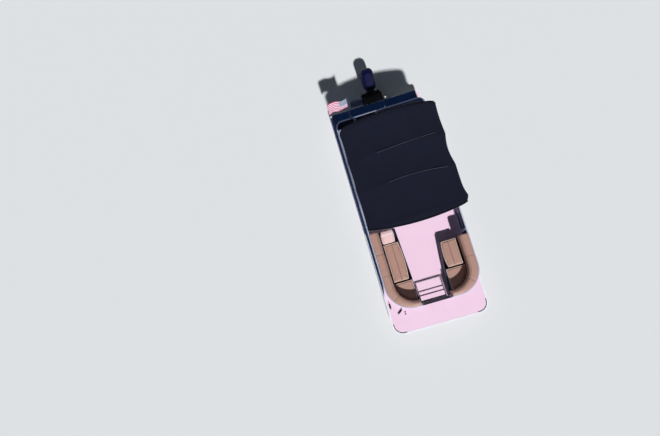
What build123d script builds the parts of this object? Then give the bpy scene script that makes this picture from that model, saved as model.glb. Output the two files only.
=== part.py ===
"""Pontoon boat with a raised outboard, a cloth top over the helm and fenced seating.

Sizes are in millimetres. While the boat is drawn, +X runs forward from the stern edge of the deck,
+Y to port and +Z up from the keel strips. At the end every piece moves along X by one shift, so that
the origin lies under the middle of the whole boat.
"""

from build123d import *

import os
from math import atan2, cos, pi, radians, sin

# Gaps between pieces
seat_gap = 0.3
running_fit = 0.05

# Deck
deck_length = 6315
deck_width = 2590
deck_top = 800
deck_thickness = 22
deck_bow_radius = 280
deck_stern_radius = 60
trim_width = 14
trim_drop = 62
trim_lip = 3
lip_reach = 22

# Blocks that cut outlines reach past every side of the boat
past_bow = deck_length + 700
past_side = deck_width
past_top = 5 * deck_top

# Tubes
tube_diameter = 610
tube_inset = 355
tube_spacing = deck_width - 2 * tube_inset
tube_stern = 90
stern_cap = 70
nose_setback = 185
nose_length = 1380
nose_tip = deck_length - nose_setback
tube_straight_end = nose_tip - nose_length
nose_rise = 0.7
eye_reach = 55
eye_height = 60
eye_thickness = 12
eye_hole = 11
eye_edge = 30
nose_sections = (
    # share of the nose's length, share of the tube's radius, rise as a share of it
    (0, 1.0, 0),
    (0.42, 0.9, 0.08),
    (0.76, 0.62, 0.32),
    (1.0, 0.2, nose_rise),
)
keel_height = 20
keel_width = 44
keel_overrun = 80
strake_width = 60
strake_thickness = 6
strake_start = 600
strake_turn = 50

# Cross channels and the risers between them and the tubes
channel_count = 14
channel_first = 160
channel_last = 190
channel_height = 76
channel_flange = 44
channel_wall = 6
channel_inset = 55
channel_length = deck_width - 2 * channel_inset
riser_width = 230
riser_length = 70
riser_wall = 8
riser_lead = 10
riser_past_straight = 300

# Fence of square tube with sheet panels
fence_tube = 32
fence_height = 765
fence_foot = 28
fence_inset = 75
fence_half_width = deck_width / 2 - fence_inset
fence_stern = 470
bow_deck_length = 635
fence_bow = deck_length - bow_deck_length
fence_stern_radius = 180
fence_bow_radius = 650
fence_lead = 45
post_spacing = 700
fence_bow_post_turns = (25, 65)
stern_post_y = 560
panel_thickness = 4
mid_rail_share = 0.52
low_rail_share = 0.33

# Seats: heights are above the deck
base_height = 330
base_wall = 18
base_fence_gap = 3
base_bow_gap = 20
base_overhang = 20
base_gate_gap = 12
cushion_height = 95
back_thickness = 235
back_thickness_bow = 140
back_thickness_stern = 250
back_inner = fence_half_width - back_thickness
back_bow = fence_bow - back_thickness_bow
back_stern = fence_stern + back_thickness_stern
back_top = 800
back_bow_radius = 550
back_stern_radius = 120
back_gate_gap = 40
roll_inset = 2
low_back_drop = 5
seat_back_gap = 50
seat_depth = 415
seat_outer = back_inner - seat_back_gap
seat_inner = seat_outer - seat_depth
seat_bulge = 44
corner_seat_length = 580
corner_seat_drop = 45
corner_seat_inner = 440
corner_gap = 14
lounge_front = back_bow - corner_seat_length
stbd_lounge_length = 1380
port_lounge_length = 710
stbd_lounge_aft = lounge_front - stbd_lounge_length
port_lounge_aft = lounge_front - port_lounge_length
chaise_length = 350
chaise_width = 345
chaise_top = 740
chaise_top_length = 90
chaise_end_gap = 20
chaise_seat_gap = 8
stbd_seat_aft = stbd_lounge_aft + chaise_length
aft_lounge_fore = 2700
aft_bench_fore = 1120
aft_bench_inner = -20
lounge_back_end_gap = 10
lid_gap = 12
bench_side_gap = 4

# Ladder: outer and inner Y of its rails, beside the motor pod
pod_half_width = 300
ladder_pod_gap = 22
ladder_width = 338
ladder_y = (-pod_half_width - ladder_pod_gap - ladder_width, -pod_half_width - ladder_pod_gap)
ladder_height = 440
ladder_rail = 13
ladder_pin = 8
ladder_barrel = 16
ladder_ear = 8
ladder_treads = 4
ladder_first_tread = 90
ladder_tread = 22
ladder_hinge = (-58, 0, deck_top - 12)

# Gates: leaf edges are measured from the fence posts beside them
gate_tube = 28
gate_gap = 12
gate_foot_gap = 6
bow_gate_starboard = 395
bow_gate_port = 335
side_gate_width = 730
side_gate_lounge_gap = 110
side_gate_fore = port_lounge_aft - side_gate_lounge_gap
side_gate_aft = side_gate_fore - side_gate_width
stern_gate_outer = ladder_y[0] - 30
stern_gate_inner = -60
hinge_pin = 5
hinge_barrel = 9
hinge_height = 60
hinge_plate = 7.5
hinge_low = 150
hinge_high = 190
gate_bar_share = 0.36

# Helm
console_aft = 2330
console_fore = 2900
console_side_gap = 140
console_width = 580
console_outer = console_side_gap - fence_half_width
console_inner = console_outer + console_width
console_middle = (console_outer + console_inner) / 2
console_height = 880
console_wall = 12
console_toe = 60
console_dash = (console_fore - console_aft) / 3
console_dash_drop = 240
console_corner_share = 0.1
console_corner = console_corner_share * (console_fore - console_aft - console_dash - console_toe)
throttle_setback = 40
throttle_drop = 210
throttle_half_length = 60
throttle_width = 50
throttle_reach = 190
screen_height = 290
screen_radius = 470
screen_thickness = 6
screen_setback = 90
screen_bend = 50
screen_side_gap = 20
screen_rake = 0.25
wheel_radius = 178
wheel_rim = 14
wheel_shaft = 11
wheel_lean = 38
wheel_spoke_turns = (-90, 30, 150)
wheel_centre = (console_aft - 55, console_middle, deck_top + console_height - 190)
chair_x = console_aft - 590
chair_y = console_middle + 30
chair_seat_height = 520
chair_hub_z = chair_seat_height - 150
chair_pan_z = chair_hub_z + 60
chair_pan = 24
chair_width = 500
chair_depth = 470
chair_pan_corner = 60
chair_shell = 32
chair_back_height = 560
chair_back_corner = 70
chair_back_x = -235
chair_back_lean = -10
chair_arm_y = 265
chair_arm = 14
chair_arm_top = chair_hub_z + 300
chair_pin = 20

# Cloth top: heights are above the deck
top_inset = 15
top_half_width = fence_half_width - top_inset
top_edge_height = 2060
top_rise = 130
top_corner = 120
top_skirt = 70
top_cloth = 5
top_aft = 1080
top_over_lounge = 40
top_fore = stbd_lounge_aft + top_over_lounge
top_aft_bulge = 120
top_fore_bulge = 130
bow_tube = 14
bow_places = (top_aft + 30, top_aft + 820, top_fore - 950, top_fore - 40)
pivot_height = 40
pivot_spacing = 70
top_pivot_x = (top_aft + top_fore) / 2
knee_drop = 30
knee_z = deck_top + top_edge_height - top_corner - top_skirt - knee_drop
ball = bow_tube + 2
fork_length = 52
fork_edge = 4.3
brace_radius = 10
brace_foot = 30
brace_places = (
    # bow, x on the rail, share of the bow's leg
    (0, top_aft + 160, 0.9),
    (3, top_fore - 250, 0.85),
)

# Outboard, drawn hanging straight down from its tilt tube
pod_fore = 900
pod_aft = -330
pod_bottom = 150
pod_top = deck_top - deck_thickness - channel_height
pod_rise = 260
pod_slope = 420
pod_step = 90
transom_thickness = 40
transom_inset = 40
tilt_x = -385
tilt_z = 740
tilt_tube = 16
tilt_hub = 30
rest_tilt = 25
steer_offset = 150
steer_pin = 22
steer_sleeve = 40
plate_depth = 532
gearcase_radius = 58
prop_shaft = 12
prop_hub = 44
prop_radius = 150
prop_depth = 705
skeg_depth = 870
skeg_thickness = 10
cowl_wall = 8
cowl_rows = (
    # height, rear, front, width, corner
    (152, -630, -42, 332, 120),
    (330, -640, -40, 340, 125),
    (470, -610, -62, 300, 115),
    (560, -500, -140, 180, 80),
)
pan_rows = (
    # height, rear, front, width, corner
    (42, -560, -75, 240, 90),
    (90, -605, -52, 310, 110),
    (150, -630, -44, 330, 120),
)
column_rows = (
    # height, rear, front, width, corner
    (42, -440, -200, 170, 70),
    (-120, -410, -200, 130, 60),
    (-330, -400, -210, 110, 50),
    (-522, -430, -205, 96, 44),
)
blade_count = 3
blade_sections = (
    # distance out from the shaft, x, turn, half length, half thickness
    (36, -515, 38, 46, 8),
    (93, -518, 28, 68, 6),
    (prop_radius - 12, -520, 22, 52, 4),
)

# Light, flag and cleats
light_y = 170
light_height = 690
light_pole = 9
lamp_height = 60
lamp_radius = 26
flag_y = 450 - fence_half_width
flag_length = 515
flag_height = 350
flag_wave = 34
staff_radius = 9
staff_ball = 14
staff_socket = 60
staff_rake = 25
staff_length = 760
cleat_half_length = 85
cleat_height = 42
cleat_bar = 9
cleat_foot = 22
cleat_foot_spread = 32
cleat_places = (
    # x, y, turn
    (fence_bow - 176, 92 - deck_width / 2, 0),
    (fence_bow + 32, 308 - deck_width / 2, -53),
    (168, 130 - deck_width / 2, 0),
    (168, deck_width / 2 - 130, 0),
)

# Sections of the fence between its gates, in the order of their nodes
bow_section = fence_bow - fence_bow_radius - fence_lead
stern_section = fence_stern + fence_stern_radius + fence_lead - 15
fence_sections = (
    # name, x from, x to, y from, y to
    ("bow_starboard", bow_section, past_bow, -past_side, -bow_gate_starboard),
    ("bow_port", bow_section, past_bow, bow_gate_port, past_side),
    ("side_starboard", stern_section, bow_section, -past_side, 0),
    ("side_port_aft", stern_section, side_gate_aft, 0, past_side),
    ("side_port_fore", side_gate_fore, bow_section, 0, past_side),
    ("stern_starboard", 0, stern_section, -past_side, stern_gate_outer),
    ("stern_port", 0, stern_section, stern_gate_inner, past_side),
)


def block(x0, x1, y0, y1, z0, z1):
    """Block between three pairs of limits."""
    return Pos(x0, y0, z0) * Box(x1 - x0, y1 - y0, z1 - z0, align=(Align.MIN, Align.MIN, Align.MIN))


def rod(start, end, radius):
    """Round bar from one point to another."""
    line = Vector(*end) - Vector(*start)
    return Plane(origin=start, z_dir=line) * Cylinder(
        radius, line.length, align=(Align.CENTER, Align.CENTER, Align.MIN)
    )


def plan(x0, x1, half_width, stern_radius, bow_radius):
    """Filled outline seen from above, with its own radius at stern and bow corners."""
    outline = Pos((x0 + x1) / 2, 0) * Rectangle(x1 - x0, 2 * half_width)
    outline = fillet(outline.vertices().group_by(Axis.X)[0], stern_radius)
    return fillet(outline.vertices().group_by(Axis.X)[-1], bow_radius)


def slab(outline, z0, z1):
    """Outline raised between two heights."""
    return Pos(0, 0, z0) * extrude(outline, amount=z1 - z0, dir=(0, 0, 1))


def port_of(shape):
    """The starboard shape mirrored to port."""
    return mirror(shape, about=Plane.XZ)


def group(*shapes):
    """Several solids that don't touch, kept side by side in one node."""
    solids = [solid for shape in shapes for solid in shape.solids()]
    return Compound(children=solids)


# Plans that several pieces share


def deck_plan(inset):
    """The deck's outline, moved inward."""
    half = deck_width / 2 - inset
    return plan(inset, deck_length - inset, half, deck_stern_radius - inset, deck_bow_radius - inset)


def fence_plan(inset):
    """The fence's outer face, moved inward."""
    return plan(
        fence_stern + inset,
        fence_bow - inset,
        fence_half_width - inset,
        fence_stern_radius - inset,
        fence_bow_radius - inset,
    )


def back_plan(inset):
    """The face of the backrests, moved inward."""
    return plan(
        back_stern + inset,
        back_bow - inset,
        back_inner - inset,
        back_stern_radius - inset,
        back_bow_radius - inset,
    )


# Hull


def tube():
    """Starboard tube with its nose, stern cap, keel strip and inner strake."""
    radius = tube_diameter / 2
    height = keel_height + radius
    body = rod((tube_stern, 0, height), (tube_straight_end, 0, height), radius)
    sections = []
    for share, size, rise in nose_sections:
        x = tube_straight_end + share * (nose_tip - tube_straight_end)
        sections.append(Plane(origin=(x, 0, height + rise * radius), z_dir=(1, 0, 0)) * Circle(size * radius))
    nose = loft(sections)
    cap = Plane(origin=(tube_stern, 0, height), z_dir=(-1, 0, 0)) * Cone(
        radius, radius * 0.8, stern_cap, align=(Align.CENTER, Align.CENTER, Align.MIN)
    )
    keel_start, keel_end = tube_stern + stern_cap, tube_straight_end + keel_overrun
    keel = block(keel_start, keel_end, -keel_width / 2, keel_width / 2, 0, keel_height + radius / 20)
    angle = radians(strake_turn)
    strake_y, strake_z = radius * sin(angle), height - radius * cos(angle)
    strake_foot = strake_y - strake_width / 3
    strake_tip, strake_top = strake_y + strake_width, strake_z + strake_thickness
    strake = block(strake_start, tube_straight_end, strake_foot, strake_tip, strake_z, strake_top)
    low, high = eye_z() - eye_height / 2, eye_z() + eye_height / 2
    half = eye_thickness / 2
    eye = block(nose_tip - eye_reach, nose_tip + eye_reach, -half, half, low, high)
    hole = Rot(90, 0, 0) * Cylinder(eye_hole, 4 * eye_thickness)
    eye -= Pos(nose_tip + eye_reach - eye_edge, 0, eye_z()) * hole
    return Pos(0, -tube_spacing / 2, 0) * (body + nose + cap + keel + strake + eye)


def eye_z():
    """Height of the towing eye, at the middle of the nose's tip."""
    radius = tube_diameter / 2
    return keel_height + radius + nose_rise * radius


def channel_places():
    """X of each cross channel."""
    first, last = channel_first, deck_length - channel_last
    step = (last - first) / (channel_count - 1)
    return [first + step * number for number in range(channel_count)]


def cross_channels():
    """C-shaped channels across the boat, under the deck."""
    top = deck_top - deck_thickness
    full = block(0, channel_flange, -channel_length / 2, channel_length / 2, top - channel_height, top)
    hollow = block(
        channel_wall,
        channel_flange + 1,
        -channel_length / 2 - 1,
        channel_length / 2 + 1,
        top - channel_height + channel_wall,
        top - channel_wall,
    )
    channel = full - hollow
    return group(*[Pos(x, 0, 0) * channel for x in channel_places()])


def risers():
    """Saddles that carry the cross channels on the starboard tube."""
    radius = tube_diameter / 2
    height = keel_height + radius
    top = deck_top - deck_thickness - channel_height
    half = riser_width / 2
    saddle = block(0, riser_length, -half, half, height, top)
    saddle -= block(-1, riser_length + 1, riser_wall - half, half - riser_wall, height - 1, top - riser_wall)
    saddle -= rod((-1, 0, height), (riser_length + 1, 0, height), radius)
    places = [x for x in channel_places() if tube_stern < x < tube_straight_end + riser_past_straight]
    return group(*[Pos(x - riser_lead, -tube_spacing / 2, 0) * saddle for x in places])


def deck():
    """Deck sheet with its covering."""
    return slab(deck_plan(trim_width), deck_top - deck_thickness, deck_top)


def deck_trim():
    """Edge extrusion around the deck, with a lip over its covering."""
    side = slab(deck_plan(0) - deck_plan(trim_width), deck_top - trim_drop, deck_top + trim_lip)
    lip = slab(deck_plan(0) - deck_plan(trim_width + lip_reach), deck_top, deck_top + trim_lip)
    return side + lip


def motor_pod():
    """Buoyant pod under the stern that carries the engine on its transom."""
    side = Polyline(
        (pod_aft, 0, pod_bottom),
        (pod_fore - pod_slope, 0, pod_bottom),
        (pod_fore, 0, pod_bottom + pod_rise),
        (pod_fore, 0, pod_top),
        (pod_aft, 0, pod_top),
        close=True,
    )
    hull = extrude(make_face(side), amount=pod_half_width, both=True)
    step = block(pod_aft - 1, 0, -pod_half_width - 1, pod_half_width + 1, pod_top - pod_step, pod_top + 1)
    hull = hull - step
    half = pod_half_width - transom_inset
    foot = pod_bottom + 1.5 * transom_inset
    transom = block(pod_aft - transom_thickness, pod_aft, -half, half, foot, pod_top)
    edge = pod_half_width - channel_wall
    low = pod_top - pod_step - 1
    rails = [block(pod_aft, 0, y - channel_wall, y + channel_wall, low, pod_top) for y in (-edge, edge)]
    return hull + transom + rails[0] + rails[1]


# Fence and gates


def ring(inset, width, z0, z1):
    """Band along the fence, measured in from its outer face."""
    return slab(fence_plan(inset) - fence_plan(inset + width), deck_top + z0, deck_top + z1)


def keep(shape, limits):
    """The part of a shape inside a block given as x0, x1, y0, y1."""
    x0, x1, y0, y1 = limits
    return shape & block(x0, x1, y0, y1, 0, past_top)


def fence_run(limits, posts):
    """Rails of one fence run with its posts, each a plan point and its turn."""
    rails = ring(0, fence_tube, fence_height - fence_tube, fence_height)
    rails += ring(0, fence_tube, fence_foot, fence_foot + fence_tube)
    run = keep(rails, limits)
    half = fence_tube / 2
    post = block(-half, half, -half, half, deck_top, deck_top + fence_height - half)
    for x, y, turn in posts:
        run += Pos(x, y, 0) * Rot(0, 0, turn) * post
    return run


def fence_panel(limits):
    """Sheet inside one fence run."""
    inset = (fence_tube - panel_thickness) / 2
    sheet = ring(inset, panel_thickness, fence_foot + fence_tube, fence_height - fence_tube)
    return keep(sheet, limits)


def bow_arc_posts(side):
    """Plan points of posts on the bow corner's curve."""
    radius = fence_bow_radius - fence_tube / 2
    cx, cy = fence_bow - fence_bow_radius, side * (fence_half_width - fence_bow_radius)
    return [
        (cx + radius * cos(radians(a)), cy + side * radius * sin(radians(a)), side * a)
        for a in fence_bow_post_turns
    ]


def gate_leaf(width, rails):
    """Gate leaf along +X from its hinge edge, its inner face on Y = 0 and the leaf on +Y."""
    z0, z1 = deck_top + fence_foot + gate_foot_gap, deck_top + fence_height
    leaf = block(0, width, 0, gate_tube, z0, z1)
    leaf -= block(gate_tube, width - gate_tube, -1, gate_tube + 1, z0 + gate_tube, z1 - gate_tube)
    for share in rails:
        middle = deck_top + share * fence_height
        bar, inset = gate_bar_share * gate_tube, gate_tube / 7
        low, high = middle - bar, middle + bar
        leaf += block(gate_tube, width - gate_tube, inset, gate_tube - inset, low, high)
    return leaf


def gate(width, rails, panel):
    """Gate at the origin with its two hinge barrels; the axis is at -gate_gap / 2, -hinge_barrel."""
    leaf = gate_leaf(width, rails)
    if panel:
        z0, z1 = deck_top + fence_foot + gate_foot_gap + gate_tube, deck_top + fence_height - gate_tube
        near, far = (gate_tube - panel_thickness) / 2, (gate_tube + panel_thickness) / 2
        leaf += block(gate_tube, width - gate_tube, near, far, z0, z1)
    for z in hinge_places():
        axis = Pos(-gate_gap / 2, -hinge_barrel, z)
        barrel = axis * Cylinder(hinge_barrel, hinge_height, align=(Align.CENTER, Align.CENTER, Align.MIN))
        tab = block(-gate_gap / 2, gate_tube, -4, 0.5, z, z + hinge_height)
        bore = axis * Cylinder(hinge_pin + running_fit, 3 * hinge_height)
        leaf = leaf + (barrel + tab - bore)
    return leaf


def gate_pins():
    """Pintles on the post for the gate's two barrels, in the gate's own place."""
    pins = []
    for z in hinge_places():
        axis = Pos(-gate_gap / 2, -hinge_barrel, z - 10)
        pin = axis * Cylinder(hinge_pin, hinge_height + 16, align=(Align.CENTER, Align.CENTER, Align.MIN))
        low, high = z - 0.5 - hinge_plate, z - 0.5
        middle, edge = -gate_gap / 2, hinge_pin + 1
        plate = block(middle - edge, middle + edge, -hinge_barrel - edge, edge - hinge_barrel, low, high)
        arm = block(-gate_gap - fence_tube / 2, middle, -hinge_barrel - edge / 2, 0.5, low, high)
        pins.append(pin + plate + arm)
    return pins


def hinge_places():
    """Heights of the foot of each hinge barrel."""
    return (deck_top + hinge_low, deck_top + fence_height - hinge_high)


def gates():
    """Leaves, pins and hinge axes of the bow, side and stern gates."""
    inner_bow = fence_bow - fence_tube + (fence_tube - gate_tube) / 2
    inner_side = fence_half_width - fence_tube + (fence_tube - gate_tube) / 2
    inner_stern = fence_stern + fence_tube - (fence_tube - gate_tube) / 2
    bow_width = bow_gate_starboard + bow_gate_port - 2 * gate_gap
    side_width = side_gate_fore - side_gate_aft - 2 * gate_gap
    stern_width = stern_gate_inner - stern_gate_outer - 2 * gate_gap
    bow = mirror(gate(bow_width, (low_rail_share, mid_rail_share), False), about=Plane.YZ)
    side = mirror(gate(side_width, (mid_rail_share,), True), about=Plane.YZ)
    stern = gate(stern_width, (mid_rail_share,), True)
    return {
        "bow": (bow, gate_pins(), inner_bow, gate_gap - bow_gate_starboard, -90, True),
        "side": (side, gate_pins(), side_gate_fore - gate_gap, inner_side, 0, True),
        "stern": (stern, gate_pins(), inner_stern, stern_gate_outer + gate_gap, 90, False),
    }


# Seats


def backrest(limits, rolled):
    """Padded backrest that rises behind the seats; a rolled one covers the fence's top rail."""
    top = deck_top + (back_top if rolled else fence_height - low_back_drop)
    pad = slab(fence_plan(fence_tube + seat_gap) - back_plan(0), deck_top + base_height + seat_gap, top)
    if rolled:
        rail_top = deck_top + fence_height + seat_gap
        pad += slab(fence_plan(roll_inset) - back_plan(0), rail_top, deck_top + back_top)
    return keep(pad, limits)


def base_plan(x0, x1, aft_y, bow_y, inset):
    """Plan of a port seat base whose inboard face runs from one Y to another, moved inward."""
    outline = make_face(Polyline((x0, aft_y), (x1, bow_y), (x1, past_side), (x0, past_side), close=True))
    if inset:
        outline = offset(outline, amount=-inset)
    return outline & fence_plan(fence_tube + base_fence_gap + inset)


def lounge_base(x0, x1, aft_y, bow_y):
    """Hollow port seat base with a shelf under the backrest; its bow corner is lower and has a top."""
    foot, top = deck_top, deck_top + base_height
    low = top - corner_seat_drop
    outline = base_plan(x0, x1, aft_y, bow_y, 0)
    inner = base_plan(x0, x1, aft_y, bow_y, base_wall)
    corner = (lounge_front + corner_gap / 2, past_bow, -past_side, past_side)
    base = slab(outline, foot, top) - slab(inner, foot + base_wall, top + 1)
    base += slab(outline - back_plan(0), top - base_wall, top)
    lid = keep(slab(outline & back_plan(0), low - base_wall, low), corner)
    return base - keep(slab(back_plan(0), low, top + 1), corner) + lid


def bow_base(aft_x, gate_y):
    """Base of a bow lounge, drawn to port, its inboard face slanted in to the bow gate's post."""
    bow_x = fence_bow - fence_tube - base_bow_gap
    return lounge_base(aft_x, bow_x, seat_inner - base_overhang, gate_y + base_gate_gap)


def seat_cushion(x0, x1, bulge):
    """Starboard seat with a bowed inboard edge."""
    z0 = deck_top + base_height + seat_gap
    near, far = (x1, -seat_inner), (x0, -seat_inner)
    inboard = ThreePointArc(near, ((x0 + x1) / 2, -seat_inner + bulge), far) if bulge else Line(near, far)
    edge = [
        Line((x0, -seat_inner), (x0, -seat_outer)),
        Line((x0, -seat_outer), (x1, -seat_outer)),
        Line((x1, -seat_outer), (x1, -seat_inner)),
        inboard,
    ]
    return slab(make_face(Curve() + edge), z0, z0 + cushion_height)


def corner_seat():
    """Lower seat in the starboard bow corner."""
    z0 = deck_top + base_height - corner_seat_drop + seat_gap
    limits = (lounge_front + corner_gap, back_bow, -back_inner, -corner_seat_inner)
    return keep(slab(back_plan(corner_gap), z0, z0 + cushion_height), limits)


def chaise():
    """Sloped backrest at the aft end of the starboard bow lounge."""
    z0, z1 = deck_top + base_height + seat_gap, deck_top + chaise_top
    y = lid_gap - seat_outer - 2
    aft, fore = stbd_lounge_aft + chaise_end_gap, stbd_seat_aft - chaise_seat_gap
    side = Polyline(
        (aft, y, z0),
        (fore, y, z0),
        (fore, y, z0 + cushion_height),
        (aft + chaise_top_length, y, z1),
        (aft, y, z1),
        close=True,
    )
    return extrude(make_face(side), amount=chaise_width, dir=(0, 1, 0))


def aft_arms():
    """Limits of the aft lounge's two arms, along the side and along the stern."""
    aft = fence_stern - lid_gap
    return (aft, aft_lounge_fore, seat_inner, past_side), (aft, aft_bench_fore, aft_bench_inner, past_side)


def aft_base():
    """Hollow base of the aft lounge, an L along the port side and the stern."""
    side, stern = aft_arms()
    return lounge_base(*side[:3], side[2]) + lounge_base(*stern[:3], stern[2])


def aft_bench():
    """Cushion of the aft lounge's stern arm."""
    z0 = deck_top + base_height + seat_gap
    limits = (back_stern, aft_bench_fore, aft_bench_inner + bench_side_gap, seat_outer)
    return keep(slab(back_plan(corner_gap), z0, z0 + cushion_height), limits)


def aft_backrest():
    """Backrest of the aft lounge, turning the port stern corner."""
    side, stern = aft_arms()
    return backrest(side, False) + backrest(stern, False)


# Helm


def console_form(inset):
    """The console's outer form, moved inward; an inset form runs out through its foot."""
    aft, fore = console_aft + inset, console_fore - inset
    z0, z1 = deck_top - (inset > 0), deck_top + console_height - inset
    side = make_face(
        Polyline(
            (aft + console_toe, 0, z0),
            (fore, 0, z0),
            (fore - console_toe, 0, z1),
            (aft + console_dash, 0, z1),
            (aft, 0, z1 - console_dash_drop + inset / 2),
            close=True,
        )
    )
    side = fillet(side.vertices().group_by(Axis.Z)[-1], console_corner - inset)
    return Pos(0, console_outer + inset, 0) * extrude(side, amount=console_width - 2 * inset, dir=(0, 1, 0))


def console():
    """Helm console, hollow, with a sloped dash and rounded shoulders."""
    return console_form(0) - console_form(console_wall)


def windscreen():
    """Curved screen on top of the console."""
    z0 = deck_top + console_height + seat_gap
    half = console_width / 2 - screen_side_gap
    face = Plane(origin=(console_fore - screen_setback, console_middle, z0), z_dir=(0, 0, 1))
    bend = Pos(screen_bend - screen_radius, 0)
    outer = face * (bend * Circle(screen_radius) & Rectangle(400, 2 * half))
    inner = face * (bend * Circle(screen_radius - screen_thickness) & Rectangle(401, 2 * half + 1))
    return extrude(outer - inner, amount=screen_height, dir=(-screen_rake, 0, 1))


def wheel_place():
    """Place of the steering wheel: its +Z points at the driver."""
    return Pos(*wheel_centre) * Rot(0, -90 + wheel_lean, 0)


def steering_wheel():
    """Rim, three spokes and hub, with its +Z at the driver."""
    rim = Torus(wheel_radius, wheel_rim)
    hub = Pos(0, 0, -wheel_rim) * Cylinder(38, 40)
    bore = Cylinder(wheel_shaft + running_fit, wheel_radius)
    bar = Pos(wheel_radius / 2, 0, -6) * Box(wheel_radius - 6, 26, 10)
    spokes = [Rot(0, 0, turn) * bar for turn in wheel_spoke_turns]
    wheel = rim + hub + spokes[0] + spokes[1] + spokes[2]
    return wheel_place() * (wheel - bore)


def steering_shaft():
    """Fixed shaft from the dash through the wheel's hub."""
    collar = Pos(0, 0, -70) * Cylinder(34, 64)
    return wheel_place() * (Pos(0, 0, -60) * Cylinder(wheel_shaft, 150) + collar) - console_form(0)


def on_post(radius, height):
    """Upright cylinder from the origin."""
    return Cylinder(radius, height, align=(Align.CENTER, Align.CENTER, Align.MIN))


def chair_pedestal():
    """Base plate and post of the helm chair."""
    pin = Pos(0, 0, chair_hub_z) * on_post(chair_pin, 60)
    return Pos(chair_x, chair_y, deck_top) * (on_post(130, 12) + on_post(36, chair_hub_z) + pin)


def chair_frame():
    """Turning seat pan, back shell and armrests."""
    hub = Pos(0, 0, chair_hub_z + 1) * on_post(48, 75)
    hub -= Pos(0, 0, chair_hub_z) * on_post(chair_pin + running_fit, 62)
    pan_top, half = chair_pan_z + chair_pan, chair_width / 2
    outline = fillet(Rectangle(chair_depth, chair_width).vertices(), chair_pan_corner)
    frame = hub + Pos(5, 0, 0) * slab(outline, chair_pan_z, pan_top)
    shell = Rectangle(chair_width - 30, chair_back_height, align=(Align.CENTER, Align.MIN))
    shell = Plane.YZ * fillet(shell.vertices(), chair_back_corner)
    shell = Pos(-chair_shell / 2, 0, 0) * extrude(shell, amount=chair_shell)
    frame += Pos(chair_back_x, 0, chair_pan_z) * Rot(0, chair_back_lean, 0) * shell
    for side in (-1, 1):
        inner, outer = sorted((side * (chair_arm_y - chair_arm), side * (chair_arm_y + chair_arm)))
        frame += block(-220, 130, inner, outer, chair_arm_top - 30, chair_arm_top)
        frame += block(60, 90, inner, outer, chair_pan_z + 2, chair_arm_top - 28)
        frame += block(-230, -196, inner, outer, chair_pan_z + 2, chair_arm_top)
        root, tip = sorted((side * (half - 15), side * chair_arm_y))
        frame += block(-230, 120, root, tip, chair_pan_z + 2, pan_top)
    return Pos(chair_x, chair_y, deck_top) * frame


def chair_cushions():
    """Seat and back pads of the helm chair."""
    z = chair_pan_z + chair_pan + seat_gap
    seat = block(-190, 240, -235, 235, z, z + cushion_height)
    turn = Pos(chair_back_x, 0, chair_pan_z) * Rot(0, chair_back_lean, 0)
    back = turn * block(chair_shell / 2 + seat_gap, 90, -225, 225, 135, 545)
    return Pos(chair_x, chair_y, deck_top) * group(seat, back)


# Cloth top


def hoop(x, inset, foot):
    """Wire of an arch across the boat: straight feet, rounded shoulders and a crown, moved inward."""
    half, corner = top_half_width - inset, top_corner - inset
    low = deck_top + top_edge_height - top_corner
    crown = deck_top + top_edge_height + top_rise - inset
    across, up = half - corner, crown - low
    radius = (across**2 + up**2 - corner**2) / (2 * (up - corner))
    lean = atan2(across, low - crown + radius)
    tangent = (radius * sin(lean), crown - radius + radius * cos(lean))
    between = (pi / 2 + lean) / 2
    bend = (across + corner * sin(between), low + corner * cos(between))
    edges = []
    for side in (1, -1):
        edges.append(Line((x, side * half, foot), (x, side * half, low)))
        shoulder, crown_end = (x, side * bend[0], bend[1]), (x, side * tangent[0], tangent[1])
        edges.append(ThreePointArc((x, side * half, low), shoulder, crown_end))
    edges.append(ThreePointArc((x, tangent[0], tangent[1]), (x, 0, crown), (x, -tangent[0], tangent[1])))
    return edges


def canopy():
    """Closed shell of the cloth, arched across and cut to its outline from above."""
    foot = deck_top + top_edge_height - top_corner - top_skirt
    inner = top_half_width - top_cloth
    hems = [Line((0, side * top_half_width, foot), (0, side * inner, foot)) for side in (1, -1)]
    section = make_face(Curve() + (hoop(0, 0, foot) + hoop(0, top_cloth, foot) + hems))
    spare = 2 * (top_aft_bulge + top_fore_bulge)
    body = Pos(top_aft - spare, 0, 0) * extrude(section, amount=top_fore - top_aft + 2 * spare, dir=(1, 0, 0))
    half = top_half_width + 1
    outline = [
        Line((top_aft, half), (top_fore, half)),
        ThreePointArc((top_fore, half), (top_fore + top_fore_bulge, 0), (top_fore, -half)),
        Line((top_fore, -half), (top_aft, -half)),
        ThreePointArc((top_aft, -half), (top_aft - top_aft_bulge, 0), (top_aft, half)),
    ]
    return body & slab(make_face(Curve() + outline), 0, past_top)


def bow_half():
    """Half width between the centres of a bow's legs."""
    return top_half_width - top_cloth - seat_gap - bow_tube


def leg_point(number, share):
    """Point along the starboard leg of a main bow, from its pivot to its knee."""
    fore = bow_places[number] > top_pivot_x
    start = (top_pivot_x + fore * pivot_spacing, -bow_half(), deck_top + back_top + pivot_height)
    end = (bow_places[number], -bow_half(), knee_z)
    return tuple(a + share * (b - a) for a, b in zip(start, end))


def top_bow(number):
    """One arched bow with its two legs; the middle bows stand on the legs of the main ones."""
    x, main, share = bow_places[number], (0, 0, 3, 3)[number], (0, 0.5, 0.5, 0)[number]
    arch = Wire(hoop(x, top_cloth + seat_gap + bow_tube, knee_z))
    bow = sweep(Plane(origin=arch @ 0, z_dir=arch % 0) * Circle(bow_tube), path=arch)
    foot = Vector(*leg_point(main, share))
    if number != main:
        foot += Vector(0, bow_tube + ball + seat_gap, 0)
    knee = Vector(x, -bow_half(), knee_z)
    leg = rod(tuple(foot), tuple(knee), bow_tube) + Pos(*knee) * Sphere(ball) + Pos(*foot) * Sphere(ball)
    return bow + leg + port_of(leg)


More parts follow.
